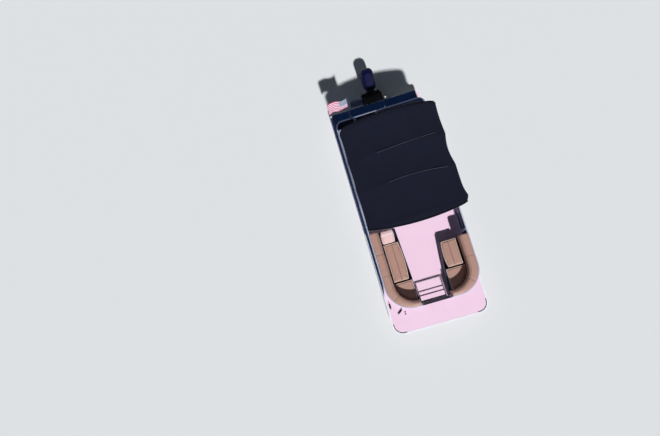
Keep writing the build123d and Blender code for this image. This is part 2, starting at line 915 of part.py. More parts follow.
def top_mounts():
    """Fork on the fence rail at each pivot of the cloth top."""
    forks = []
    for number in (0, 3):
        x, y, z = leg_point(number, 0)
        low, high, half = deck_top + fence_height, z - ball - seat_gap, fork_length / 2
        forks.append(block(x - half, x + half, fork_edge - fence_half_width, y + bow_tube, low, high))
    return forks


def top_brace(number, rail_x, share):
    """Strut beside a main bow's leg, with its foot on the fence rail."""
    x, _, z = leg_point(number, share)
    y = -bow_half() + bow_tube + brace_radius + seat_gap
    rail, half = deck_top + fence_height, brace_foot / 2
    outer, inner = fork_edge - fence_half_width, y + brace_radius
    foot = block(rail_x - half, rail_x + half, outer, inner, rail, rail + brace_foot)
    return foot + rod((rail_x, y, rail + half), (x, y, z), brace_radius)


# Outboard, drawn about its tilt tube: X and Z run from the tube's centre


def rounded(z, x0, x1, width, radius):
    """Rounded rectangle at a height, between two X limits."""
    outline = RectangleRounded(x1 - x0, width, radius)
    return Pos((x0 + x1) / 2, 0, z) * outline


def lofted(rows):
    """Loft through rounded rectangles given as height, X limits, width and corner radius."""
    return loft([rounded(*row) for row in rows])


def engine_cowl():
    """Hollow top cowl."""
    wall = cowl_wall
    inner = [
        (z - wall * (number > 0), x0 + wall, x1 - wall, width - 2 * wall, corner - wall)
        for number, (z, x0, x1, width, corner) in enumerate(cowl_rows)
    ]
    first = inner[0]
    inner[0] = (first[0] - 1,) + first[1:]
    return lofted(cowl_rows) - lofted(inner)


def engine_pan():
    """Lower cowl, the tray that the top cowl closes on."""
    return lofted(pan_rows)


def powerhead():
    """Engine block inside the cowl."""
    foot, rear, front = pan_rows[-1][0], pan_rows[-1][1] + 90, pan_rows[-1][2] - 86
    half = pan_rows[-1][3] / 2 - 60
    return block(rear, front, -half, half, foot + seat_gap, cowl_rows[1][0] + 90)


def engine_leg():
    """Leg with its two yokes, plate, gearcase and skeg, turned by the steering."""
    column = lofted(column_rows)
    plate = fillet((Pos(-340, 0) * Rectangle(400, 250)).vertices(), 60)
    plate = Pos(0, 0, -plate_depth) * extrude(plate, amount=11)
    strut = loft([rounded(-521, -430, -215, 80, 38), rounded(-prop_depth + 30, -420, -225, 64, 30)])
    gearcase = rod((-250, 0, -prop_depth), (-430, 0, -prop_depth), gearcase_radius)
    nose = Pos(-250, 0, -prop_depth) * scale(Sphere(gearcase_radius), by=(1.5, 1, 1))
    tail = Plane(origin=(-430, 0, -prop_depth), z_dir=(-1, 0, 0)) * Cone(
        gearcase_radius, prop_hub + 2, 30, align=(Align.CENTER, Align.CENTER, Align.MIN)
    )
    y = -skeg_thickness / 2
    side = Polyline(
        (-225, y, -prop_depth),
        (-290, y, -skeg_depth),
        (-385, y, -skeg_depth),
        (-410, y, -prop_depth),
        close=True,
    )
    skeg = extrude(make_face(side), amount=skeg_thickness, dir=(0, 1, 0))
    shaft = rod((-440, 0, -prop_depth), (-585, 0, -prop_depth), prop_shaft)
    nut = rod((-572, 0, -prop_depth), (-594, 0, -prop_depth), prop_shaft + 8)
    leg = column + plate + strut + gearcase + nose + tail + skeg + shaft + nut
    for half, low, high in ((62, 27, 60), (45, -385, -346)):
        leg += block(-300, -steer_offset, -half, half, low, high)
        leg += Pos(-steer_offset, 0, low) * on_post(half, high - low)
    leg += rod((-steer_offset, 0, -380), (-steer_offset, 0, 50), steer_pin)
    return leg - lofted(pan_rows)


def propeller():
    """Three twisted blades on a hub with its bore on the shaft."""
    wheel = rod((-464, 0, -prop_depth), (-566, 0, -prop_depth), prop_hub)
    sections = [
        Plane(origin=(x, 0, out), z_dir=(0, 0, 1)) * Rot(0, 0, turn) * Ellipse(length, thickness)
        for out, x, turn, length, thickness in blade_sections
    ]
    blade = loft(sections)
    for number in range(blade_count):
        wheel += Pos(0, 0, -prop_depth) * Rot(360 / blade_count * number, 0, 0) * blade
    return wheel - rod((-400, 0, -prop_depth), (-620, 0, -prop_depth), prop_shaft + running_fit)


def swivel_bracket():
    """Bracket that tilts on the tube and holds the steering pin."""
    hub = rod((0, -82, 0), (0, 82, 0), tilt_hub)
    sleeve = rod((-steer_offset, 0, -345.5), (-steer_offset, 0, 26.5), steer_sleeve)
    web = block(-steer_offset, 0, -60, 60, -24, 20) + block(-steer_offset, -30, -14, 14, -300, -20)
    arm = block(-120, -20, -60, 60, -70, -20)
    body = hub + sleeve + web + arm
    body -= rod((-steer_offset, 0, -400), (-steer_offset, 0, 80), steer_pin + running_fit)
    return body - rod((0, -90, 0), (0, 90, 0), tilt_tube + running_fit)


def clamp_bracket():
    """Two plates clamped over the transom, joined by the tilt tube."""
    aft_face = pod_aft - transom_thickness - tilt_x - seat_gap
    jaw_end = aft_face + transom_thickness + 26
    top = pod_top - tilt_z + seat_gap
    bracket = rod((0, -130, 0), (0, 130, 0), tilt_tube)
    for side in (-1, 1):
        inner, outer = sorted((side * 94, side * 118))
        plate = block(-50, aft_face, inner, outer, -330, 0) + rod((0, inner, 0), (0, outer, 0), tilt_hub)
        hook = block(-5, jaw_end, inner, outer, top, top + 16)
        jaw = block(aft_face + transom_thickness + 2 * seat_gap, jaw_end, inner, outer, -85, top + 1)
        bracket += plate + hook + jaw
    return bracket


def engine_place(angle):
    """Place of the tilt tube with the engine swung up by an angle."""
    return Pos(tilt_x, 0, tilt_z) * Rot(0, angle, 0)


# Ladder, cleats, light and flag


def ladder():
    """Boarding ladder folded up behind the deck, its rails standing on the hinge."""
    x, _, z = ladder_hinge
    outer, inner = ladder_y
    frame = rod((x, outer, z), (x, inner, z), ladder_barrel)
    for y in (outer + ladder_rail, inner - ladder_rail):
        frame += rod((x, y, z), (x - 12, y, z + ladder_height), ladder_rail)
    spread = ladder_height - ladder_first_tread - ladder_tread / 2 - 9
    for number in range(ladder_treads):
        height = z + ladder_first_tread + number * spread / (ladder_treads - 1)
        frame += block(x - 32, x + 22, outer + 16, inner - 16, height, height + ladder_tread)
    return frame - rod((x, outer - 1, z), (x, inner + 1, z), ladder_pin + running_fit)


def ladder_mount():
    """Two ears on the deck's stern edge with the ladder's hinge pin."""
    x, _, z = ladder_hinge
    outer, inner = ladder_y[0] - 6, ladder_y[1] + 6
    plate = -ladder_ear - seat_gap
    mount = rod((x, outer - ladder_ear, z), (x, inner + ladder_ear, z), ladder_pin)
    mount += block(plate, -seat_gap, outer - ladder_ear, inner + ladder_ear, z - 40, z - 22)
    for low, high in ((outer - ladder_ear, outer), (inner, inner + ladder_ear)):
        mount += block(x - 14, -seat_gap, low, high, z - 14, z + 10)
        mount += block(plate, -seat_gap, low, high, z - 40, z + 10)
    return mount


def cleat(x, y, turn):
    """Deck cleat with two feet and a bar."""
    bar = rod((-cleat_half_length, 0, cleat_height), (cleat_half_length, 0, cleat_height), cleat_bar)
    foot = Cone(cleat_foot, cleat_bar, cleat_height - 2, align=(Align.CENTER, Align.CENTER, Align.MIN))
    for side in (-1, 1):
        bar += Pos(side * cleat_half_length, 0, cleat_height) * Sphere(cleat_bar)
        bar += Pos(side * cleat_foot_spread, 0, 0) * foot
    return Pos(x, y, deck_top) * Rot(0, 0, turn) * bar


def stern_light():
    """All-round light on a pole at the stern rail."""
    x, y = fence_stern - 20, light_y
    z = deck_top + fence_height - fence_tube
    foot = block(x - 20, fence_stern, y - 20, y + 20, z, z + fence_tube)
    pole = rod((x, y, z), (x, y, z + light_height), light_pole)
    lamp = rod((x, y, z + light_height), (x, y, z + light_height + lamp_height), lamp_radius)
    return foot + pole + lamp


def staff_point(along):
    """Point on the raked flag staff."""
    x = fence_stern + fence_tube / 2 - along * sin(radians(staff_rake))
    return (x, flag_y, deck_top + fence_height + along * cos(radians(staff_rake)))


def flag_staff():
    """Staff raked aft from the stern rail."""
    low, high = staff_point(0), staff_point(staff_length)
    foot = rod(low, staff_point(staff_socket), 2 * staff_radius)
    staff = rod(low, high, staff_radius) + Pos(*high) * Sphere(staff_ball)
    return (foot + staff) & block(-past_bow, past_bow, -past_side, 0, low[2], past_top)


def flag():
    """Flag flying to starboard in two shallow waves."""
    x, y, z = staff_point(staff_length - flag_height - 25)
    near, far, wave = -staff_radius - seat_gap, -staff_radius - flag_length, flag_wave
    middle = (near + far) / 2
    sides = []
    for offset in (-2, 2):
        sides.append(ThreePointArc((offset, near), (offset + wave, (near + middle) / 2), (offset, middle)))
        sides.append(ThreePointArc((offset, middle), (offset - wave, (far + middle) / 2), (offset, far)))
    ends = [Line((-2, near), (2, near)), Line((-2, far), (2, far))]
    rake = radians(staff_rake)
    return Pos(x, y, z) * extrude(
        make_face(Curve() + (sides + ends)), amount=flag_height, dir=(-sin(rake), 0, cos(rake))
    )


def throttle():
    """Remote control box with its lever on the console's side."""
    x = console_aft + console_dash - throttle_setback
    y, z = console_outer - seat_gap, deck_top + console_height - throttle_drop
    aft, fore = x - throttle_half_length, x + throttle_half_length
    middle, top = y - throttle_width / 2, z + throttle_reach
    housing = block(aft, fore, y - throttle_width, y, z - 70, z + 60)
    lever = rod((x, middle, z + 40), (aft, middle, top), 9)
    grip = rod((aft, middle - 20, top), (aft, middle + 50, top), 17)
    return housing + lever + grip


# Pieces and their names


def section_posts(name, x0, x1, y0, y1):
    """Plan points of a section's posts."""
    half = fence_tube / 2
    side = fence_half_width - half
    near = y1 - half if name.endswith("starboard") else y0 + half
    if name.startswith("bow"):
        return [(fence_bow - half, near, 0)] + bow_arc_posts(-1 if near < 0 else 1)
    if name.startswith("side"):
        sign = -1 if y0 < 0 else 1
        count = max(1, round((x1 - x0) / post_spacing))
        step = (x1 - x0 - fence_tube) / count
        return [(x0 + half + step * k, sign * side, 0) for k in range(count + 1)]
    points = [(fence_stern + half, near, 0)]
    if name.endswith("port"):
        points.append((fence_stern + half, stern_post_y, 0))
    return points


def fence(prefix):
    """All frames of the sections whose names start with a prefix."""
    chosen = [(name, limits) for name, *limits in fence_sections if name.startswith(prefix)]
    return group(*[fence_run(limits, section_posts(name, *limits)) for name, limits in chosen])


def fence_panels():
    """The sheets of all fence sections."""
    panels = []
    for name, x0, x1, y0, y1 in fence_sections:
        low, high = y0 + fence_tube * (y0 > -past_side), y1 - fence_tube * (y1 < past_side)
        panel = fence_panel((x0 + fence_tube, x1 - fence_tube, low, high))
        posts = fence_run((x0, x1, y0, y1), section_posts(name, x0, x1, y0, y1))
        panels.append(panel - posts)
    return group(*panels)


def build():
    """Every node of the boat by its name."""
    nodes = {}
    nodes["tube_starboard"] = tube()
    nodes["tube_port"] = port_of(tube())
    nodes["risers"] = group(risers(), port_of(risers()))
    nodes["cross_channels"] = cross_channels()
    nodes["deck"] = deck()
    nodes["deck_trim"] = deck_trim()
    nodes["motor_pod"] = motor_pod()

    fences = {prefix: fence(prefix) for prefix in ("bow", "side", "stern")}
    for name, (leaf, pins, x, y, turn, mirrored) in gates().items():
        place = Pos(x, y, 0) * Rot(0, 0, turn)
        nodes[f"gate_{name}"] = place * leaf
        for pin in pins:
            if mirrored:
                pin = mirror(pin, about=Plane.YZ)
            fences[name] = join(fences[name], place * pin)
    nodes["fence_bow"] = fences["bow"]
    nodes["fence_sides"] = fences["side"]
    nodes["fence_stern"] = fences["stern"]
    nodes["fence_panels"] = fence_panels()

    nodes["lounge_base_starboard"] = port_of(bow_base(stbd_lounge_aft, bow_gate_starboard))
    nodes["lounge_base_port"] = bow_base(port_lounge_aft, bow_gate_port)
    nodes["lounge_base_aft"] = aft_base()
    nodes["seat_starboard"] = seat_cushion(stbd_seat_aft, lounge_front, seat_bulge)
    nodes["seat_port"] = port_of(seat_cushion(port_lounge_aft, lounge_front, seat_bulge))
    nodes["seat_aft"] = port_of(seat_cushion(aft_bench_fore + lid_gap, aft_lounge_fore, 0))
    nodes["bench_aft"] = aft_bench()
    nodes["corner_seats"] = group(corner_seat(), port_of(corner_seat()))
    back_aft, back_end = stbd_lounge_aft + lounge_back_end_gap, -bow_gate_starboard - back_gate_gap
    nodes["backrest_starboard"] = backrest((back_aft, past_bow, -past_side, back_end), True)
    back_aft, back_end = port_lounge_aft, bow_gate_port + back_gate_gap
    nodes["backrest_port"] = backrest((back_aft, past_bow, back_end, past_side), True)
    nodes["backrest_aft"] = aft_backrest()
    nodes["chaise"] = chaise()

    nodes["console"] = console()
    nodes["windscreen"] = windscreen()
    nodes["steering_shaft"] = steering_shaft()
    nodes["steering_wheel"] = steering_wheel()
    nodes["throttle"] = throttle()
    nodes["chair_pedestal"] = chair_pedestal()
    nodes["chair_frame"] = chair_frame()
    nodes["chair_cushions"] = chair_cushions()

    nodes["canopy"] = canopy()
    nodes["top_bows"] = group(*[top_bow(number) for number in range(4)])
    mounts = top_mounts()
    nodes["top_mounts"] = group(*mounts, *[port_of(mount) for mount in mounts])
    braces = [top_brace(*place) for place in brace_places]
    nodes["top_braces"] = group(*braces, *[port_of(brace) for brace in braces])

    raised = engine_place(rest_tilt)
    nodes["clamp_bracket"] = engine_place(0) * clamp_bracket()
    nodes["swivel_bracket"] = raised * swivel_bracket()
    nodes["engine_leg"] = raised * engine_leg()
    nodes["engine_pan"] = raised * engine_pan()
    nodes["engine_cowl"] = raised * engine_cowl()
    nodes["powerhead"] = raised * powerhead()
    nodes["propeller"] = raised * propeller()

    nodes["ladder"] = ladder()
    nodes["ladder_mount"] = ladder_mount()
    nodes["cleats"] = group(*[cleat(*place) for place in cleat_places])
    nodes["stern_light"] = stern_light()
    nodes["flag_staff"] = flag_staff()
    nodes["flag"] = flag()
    return nodes


def join(shape, piece):
    """Adds a piece to the solid of a group that it touches."""
    fused = Part() + shape.solids() + piece
    return Compound(children=list(fused.solids()))


def main():
    """Builds the boat, moves its middle over the origin and writes one STEP file for each node."""
    nodes = build()
    boat = Compound(children=[Compound(children=list(shape.solids())) for shape in nodes.values()])
    box = boat.bounding_box()
    shift = -(box.min.X + box.max.X) / 2
    print("shift", shift, "length", box.size.X, "y", box.min.Y, box.max.Y, "z", box.min.Z, box.max.Z)
    os.makedirs("parts", exist_ok=True)
    for name, shape in nodes.items():
        moved = Pos(shift, 0, 0) * Compound(children=list(shape.solids()))
        export_step(moved, f"parts/{name}.step")


if __name__ == "__main__":
    main()
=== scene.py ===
import logging
from collections import defaultdict
from collections.abc import Iterator, Sequence
from contextlib import contextmanager
from dataclasses import dataclass, field
from enum import Enum
from itertools import product
from math import atan2, copysign, cos, dist, exp, hypot, pi, radians, sin, tau
from typing import Self

import bmesh
import bpy
import numpy as np
from mathutils import Matrix, Vector, noise
from mathutils.bvhtree import BVHTree


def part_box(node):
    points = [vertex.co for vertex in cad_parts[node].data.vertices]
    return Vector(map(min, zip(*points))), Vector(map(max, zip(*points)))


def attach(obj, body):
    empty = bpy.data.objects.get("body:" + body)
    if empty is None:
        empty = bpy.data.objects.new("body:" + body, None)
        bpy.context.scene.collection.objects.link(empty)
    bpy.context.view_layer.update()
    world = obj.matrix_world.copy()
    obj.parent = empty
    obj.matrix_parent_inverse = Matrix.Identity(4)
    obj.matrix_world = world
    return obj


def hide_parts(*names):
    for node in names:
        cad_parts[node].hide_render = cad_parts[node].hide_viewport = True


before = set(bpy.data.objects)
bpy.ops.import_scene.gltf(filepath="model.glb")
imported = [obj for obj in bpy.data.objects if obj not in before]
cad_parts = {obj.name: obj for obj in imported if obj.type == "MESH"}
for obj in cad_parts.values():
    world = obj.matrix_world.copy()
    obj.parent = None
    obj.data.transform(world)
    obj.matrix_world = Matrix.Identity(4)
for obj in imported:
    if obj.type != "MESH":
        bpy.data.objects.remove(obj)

log = logging.getLogger("pontoon_boat")
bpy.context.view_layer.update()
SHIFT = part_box("deck_trim")[0].x
DECK_TOP, AMIDSHIPS = 800, 3000  # millimetres, as for at()
WATERLINE = 0.325
SIDES = (-1, 1)
UP, FORE, AFT, PORT = Vector((0, 0, 1)), Vector((1, 0, 0)), Vector((-1, 0, 0)), Vector((0, 1, 0))
Points = list[Vector]
Flat = list[tuple[float, float]]
Station = tuple[float, float, float, float]  # x, y and the outward direction's x, y


def at(x: float, y: float, z: float) -> Vector:
    """Point in the row frame, in metres, from millimetres forward of the deck's stern edge."""
    return Vector((SHIFT + x / 1000, y / 1000, z / 1000))


# Finishes


class Texture(Enum):
    """Kinds of surface that a finish can have, each with its own pattern of heights."""

    SPRAYED = "sprayed"
    GRAINED = "grained"
    WOVEN = "woven"
    BRUSHED = "brushed"
    MOULDED = "moulded"


class Graph:
    """The nodes of a material or of a world, added one at a time."""

    def __init__(self, owner: bpy.types.Material | bpy.types.World) -> None:
        """Empties the node tree of the material or world."""
        owner.use_nodes = True
        self.tree = owner.node_tree
        self.tree.nodes.clear()

    def add(self, kind: str, settings: dict | None = None, **links: object) -> bpy.types.Node:
        """Adds a node.

        Args:
            kind: the node's type without its common prefix.
            settings: properties to set on the node.
            links: input names, with _ for spaces, or in0, in1 for an input's number; each a value or a socket.

        Returns:
            The new node.
        """
        made = self.tree.nodes.new("ShaderNode" + kind)
        for key, value in (settings or {}).items():
            setattr(made, key, value)
        for key, value in links.items():
            socket = made.inputs[int(key[2:])] if key[2:].isdigit() else made.inputs[key.replace("_", " ")]
            if isinstance(value, bpy.types.NodeSocket):
                self.tree.links.new(value, socket)
            else:
                socket.default_value = value
        return made

    def maths(self, operation: str, *values: object) -> bpy.types.NodeSocket:
        """Result of a Math node on one to three values or sockets."""
        return self.add("Math", {"operation": operation}, **{f"in{k}": v for k, v in enumerate(values)}).outputs[0]

    def mix(self, share: object, first: object, second: object) -> bpy.types.NodeSocket:
        """Colour between two, by a share from 0 to 1, each a value or a socket."""
        return self.add("Mix", {"data_type": "RGBA"}, in0=share, in6=first, in7=second).outputs[2]

    def spread(self, value: object, low: float, high: float) -> bpy.types.NodeSocket:
        """A value's place between two others, kept from 0 to 1."""
        return self.add("MapRange", Value=value, in1=low, in2=high).outputs[0]

    def noise(self, where: object, size: float, detail: float = 3.0) -> bpy.types.NodeSocket:
        """Noise with patches of a size in metres."""
        return self.add("TexNoise", Vector=where, Scale=1 / size, Detail=detail).outputs[0]


def linear(colour: str) -> tuple[float, float, float, float]:
    """Linear colour of a six-digit one."""
    parts = (int(colour[k:k + 2], 16) / 255 for k in (0, 2, 4))
    red, green, blue = ((p / 12.92 if p <= 0.04045 else ((p + 0.055) / 1.055) ** 2.4) for p in parts)
    return red, green, blue, 1.0


def darker(colour: Sequence[float], share: float) -> tuple[float, ...]:
    """A linear colour at a share of its brightness."""
    return *(share * part for part in colour[:3]), 1.0


@dataclass(frozen=True)
class Finish:
    """How one kind of surface looks, made once as a material; sizes are in metres, colours in six digits.

    Its second colour shows in patches as far as the mottle lets it, and grime gathers below its top height.
    """

    name: str
    colour: str
    texture: Texture = Texture.MOULDED
    roughness: float = 0.5
    metal: float = 0.0
    coat: float = 0.0
    sheen: float = 0.0
    second: str = ""
    mottle: float = 0.35
    patch: float = 0.25
    pitch: float = 0.004
    depth: float = 0.0006
    clear: float = 0.0
    shine: float = 0.5
    grime: float = 0.0
    grime_top: float = 0.5
    slot: str = ""

    def material(self) -> bpy.types.Material:
        """The finish's material, built the first time it is asked for."""
        return bpy.data.materials.get(self.name) or self.build()

    def relief(self, graph: Graph, where: bpy.types.NodeSocket) -> bpy.types.NodeSocket:
        """Height pattern of the texture.

        Args:
            graph: the material's nodes.
            where: coordinates in metres.

        Returns:
            A socket with heights from about 0 to 1.
        """
        if self.texture is Texture.WOVEN:
            scaled = graph.add("VectorMath", {"operation": "SCALE"}, Vector=where, Scale=tau / self.pitch)
            waves = graph.add("VectorMath", {"operation": "SINE"}, Vector=scaled.outputs[0]).outputs[0]
            x, y, z = graph.add("SeparateXYZ", Vector=waves).outputs
            crossed = graph.maths("ADD", graph.maths("MULTIPLY", x, y), graph.maths("MULTIPLY", y, z))
            crossed = graph.maths("ADD", crossed, graph.maths("MULTIPLY", x, z))
            threads = graph.maths("MULTIPLY_ADD", crossed, 0.3, 0.5)
            return graph.maths("ADD", threads, graph.noise(where, self.pitch * 3))
        if self.texture is Texture.GRAINED:
            cells = graph.add("TexVoronoi", {"feature": "F1"}, Vector=where, Scale=1 / self.pitch).outputs[0]
            creases = graph.noise(where, self.pitch * 14, 5)
            return graph.maths("MULTIPLY_ADD", creases, 1.6, cells)
        if self.texture is Texture.BRUSHED:
            drawn = graph.add("Mapping", Vector=where, Scale=(0.06, 1, 1)).outputs[0]
            return graph.noise(drawn, self.pitch, 4)
        size = self.pitch if self.texture is Texture.MOULDED else self.pitch * 2
        return graph.noise(where, size, 2)

    def build(self) -> bpy.types.Material:
        """Builds the material's nodes."""
        material = bpy.data.materials.new(self.name)
        graph = Graph(material)
        where = graph.add("TexCoord").outputs["Object"]
        relief = self.relief(graph, where)
        patches = graph.spread(graph.noise(where, self.patch, 5), 0.35, 0.68)
        base = linear(self.colour)
        other = linear(self.second) if self.second else darker(base, 0.8)
        colour = graph.mix(graph.maths("MULTIPLY", patches, self.mottle), base, other)
        # Painted shade: the hollows of woven and grained textures are darkened.
        if self.texture in (Texture.WOVEN, Texture.GRAINED):
            painted_hollow_shade = graph.maths("MULTIPLY", graph.spread(relief, 0.9, 0.2), 0.5)
            colour = graph.mix(painted_hollow_shade, colour, darker(base, 0.62))
        if self.grime:
            height = graph.add("SeparateXYZ", Vector=where).outputs[2]
            ragged = graph.maths("MULTIPLY_ADD", graph.noise(where, 0.12, 6), 0.22, height)
            stain = graph.maths("MULTIPLY", graph.spread(ragged, self.grime_top, self.grime_top - 0.25), self.grime)
            colour = graph.mix(stain, colour, linear("6d6a55"))
        scuffs = graph.noise(where, self.patch * 0.3, 6)
        rough = graph.maths("MULTIPLY_ADD", scuffs, 0.22, self.roughness - 0.11)
        bump = graph.add("Bump", Height=relief, Distance=self.depth, Strength=0.7)
        shader = graph.add(
            "BsdfPrincipled", Base_Color=colour, Roughness=rough, Metallic=self.metal, Normal=bump.outputs[0],
            Coat_Weight=self.coat, Coat_Roughness=0.08, Sheen_Weight=self.sheen, Transmission_Weight=self.clear,
            Specular_IOR_Level=self.shine,
        )
        graph.add("OutputMaterial", Surface=shader.outputs[0])
        return material


ALUMINIUM = Finish("rolled aluminium", "b4b9bd", Texture.BRUSHED, 0.36, 1.0, second="8e9499", pitch=0.012, grime=0.55,
                   grime_top=0.46, slot="hull_metal")
# Partly painted reflection: over the satin aluminium, the rail's bluish tint stands for sky mirrored in it.
RAIL = Finish("satin rail", "bac5dd", Texture.BRUSHED, 0.34, 0.6, second="a6b1ca", pitch=0.006, depth=0.0002,
              slot="trim_metal")
# Painted shade: a darker, bluer copy of the rail finish for the stern rail, which lies in the top's shadow.
SHADED_STERN_RAIL = Finish("stern rail with painted shade", "7b89b0", Texture.BRUSHED, 0.42, 0.25, second="6d7ba1", pitch=0.006,
                    depth=0.0002)
TRIM = Finish("pale edge trim", "eef2f6", Texture.BRUSHED, 0.34, 0.35, second="d8dde2", pitch=0.006, depth=0.0002)
DECK_WEAVE = Finish("woven deck floor", "fcdaf0", Texture.WOVEN, 0.82, shine=0.3, second="f8d0e6", patch=0.5,
                    pitch=0.005)
NAVY_RAIL = Finish("navy rail coat", "10131f", Texture.SPRAYED, 0.46, shine=0.25, second="171b2a", pitch=0.003,
                   slot="rail_paint")
PANEL = Finish("navy sheet panel", "1c2849", Texture.SPRAYED, 0.55, shine=0.15, second="18223f", patch=0.6,
               pitch=0.01, depth=0.0003, grime=0.12, grime_top=1.0, slot="panel_paint")
STRIPE = Finish("pale panel stripe", "9fb0cf", Texture.SPRAYED, 0.4, second="8fa1c2", depth=0.0001,
                slot="panel_paint")
TAN_VINYL = Finish("tan vinyl", "b1897c", Texture.GRAINED, 0.52, second="a47c6f", patch=0.18, pitch=0.0035,
                   depth=0.0007, sheen=0.15, slot="seat_vinyl")
CREAM_VINYL = Finish("cream vinyl", "e2c2c4", Texture.GRAINED, 0.5, second="d8b4b6", patch=0.2, pitch=0.0035,
                     sheen=0.1, slot="seat_vinyl")
PIPING = Finish("cream piping", "f0dfcd", Texture.MOULDED, 0.42, second="e4d0bc", pitch=0.002, depth=0.0002,
                slot="seat_vinyl")
THREAD = Finish("seat thread", "4c372f", Texture.WOVEN, 0.8, shine=0.2, pitch=0.001, depth=0.0002, slot="seat_vinyl")
# Painted shade: dark vinyl for the aft backrest, which lies in the top's shadow.
NAVY_SHADE_VINYL = Finish("navy vinyl", "20264a", Texture.GRAINED, 0.55, shine=0.35, second="1b2040", patch=0.2,
                    pitch=0.0035, slot="seat_vinyl")
# Partly painted shade: the navy is the bases' own colour and also stands for the shade on their inboard faces.
BASE = Finish("dark seat base", "222741", Texture.MOULDED, 0.55, shine=0.3, second="1a1e33", patch=0.3, pitch=0.003,
              slot="base_plastic")
GEL_COAT = Finish("pale gel coat", "e4ded4", Texture.SPRAYED, 0.24, coat=0.6, second="d9d2c6", pitch=0.02,
                  depth=0.0002, slot="helm_plastic")
BLACK = Finish("grained black plastic", "1c1d21", Texture.GRAINED, 0.55, second="26272c", pitch=0.002,
               slot="black_plastic")
RUBBER = Finish("black rubber", "141416", Texture.MOULDED, 0.78, second="202023", pitch=0.003, slot="black_plastic")
COWL = Finish("navy cowl", "070d34", Texture.SPRAYED, 0.55, shine=0.06, second="060b2b", patch=0.4, pitch=0.015,
              depth=0.00015)
COWL_STRIPE = Finish("blue cowl stripe", "34457f", Texture.SPRAYED, 0.35, shine=0.4, depth=0.0001, slot="cowl_paint")
ENGINE = Finish("engine enamel", "0d0e13", Texture.SPRAYED, 0.42, shine=0.3, second="16181f", depth=0.0003,
                slot="bright_steel")
# Partly painted shade: the pod is black paint and is also kept dark for the boat's shadow over it.
POD_PAINT_AND_SHADE = Finish("black pod paint", "0a0b0f", Texture.SPRAYED, 0.6, shine=0.15, second="101217", pitch=0.006,
             depth=0.0004, grime=0.25)
# Painted shade: the blue mat on the boarding deck stands for the top's shadow there.
STERN_SHADE_MAT = Finish("blue mat painted as stern shade", "436cae", Texture.WOVEN, 0.85, shine=0.2, second="3a5f9b", patch=0.3, pitch=0.008,
             depth=0.0008, slot="deck_vinyl")
# Painted shade: navy strips on the deck ledge outboard of the fence stand for the fence's shadow.
LEDGE_SHADE = Finish("navy painted ledge shade", "1f2d52", Texture.MOULDED, 0.6, shine=0.2, second="1a2747", patch=0.4, pitch=0.006,
               slot="deck_vinyl")
# Painted shade and reflection: the ladder's metal and treads are dark blue for the top's shadow and the sky mirrored
# in them.
LADDER_METAL_AND_SHADE = Finish("ladder metal and painted shade", "5c6c92", Texture.BRUSHED, 0.36, 0.7, second="4d5c80", pitch=0.005,
                depth=0.0002)
TREAD_AND_SHADE = Finish("ladder tread and painted shade", "3a4869", Texture.MOULDED, 0.6, second="344061", slot="bright_steel")
STEEL = Finish("polished steel", "d4d8dc", Texture.BRUSHED, 0.16, 1.0, second="c2c6ca", depth=0.0001,
               slot="bright_steel")
TOP_CLOTH = Finish("dark top cloth", "191b2a", Texture.WOVEN, 0.9, shine=0.1, second="1c1f30", patch=0.35,
                   pitch=0.003, slot="top_cloth")
# Painted shadow and highlight: the dark tape also lies aft of each seam as its shaded side, and the pale thread on
# each seam stands for its lit side.
TOP_TAPE_AND_SEAM_SHADOW = Finish("top tape and painted seam shadow", "0a0b13", Texture.WOVEN, 0.85, shine=0.1, second="07080e", pitch=0.003,
                  depth=0.0004, slot="top_cloth")
TOP_THREAD_AND_HIGHLIGHT = Finish("top thread and painted highlight", "535563", Texture.WOVEN, 0.8, shine=0.2, pitch=0.002, depth=0.0003,
                    slot="top_cloth")
LAMP = Finish("lamp lens", "fbfbf6", Texture.MOULDED, 0.12, coat=0.8, depth=0.0002, slot="lamp")
SCREEN = Finish("smoked screen", "7f8c96", Texture.SPRAYED, 0.06, clear=0.85, pitch=0.05, depth=0.00005)
DIAL = Finish("dial face", "f3f3ee", Texture.MOULDED, 0.4, pitch=0.002, depth=0.0001, slot="helm_plastic")
ZINC = Finish("cast zinc", "9da3a8", Texture.MOULDED, 0.6, 0.8, pitch=0.003, slot="engine_paint")


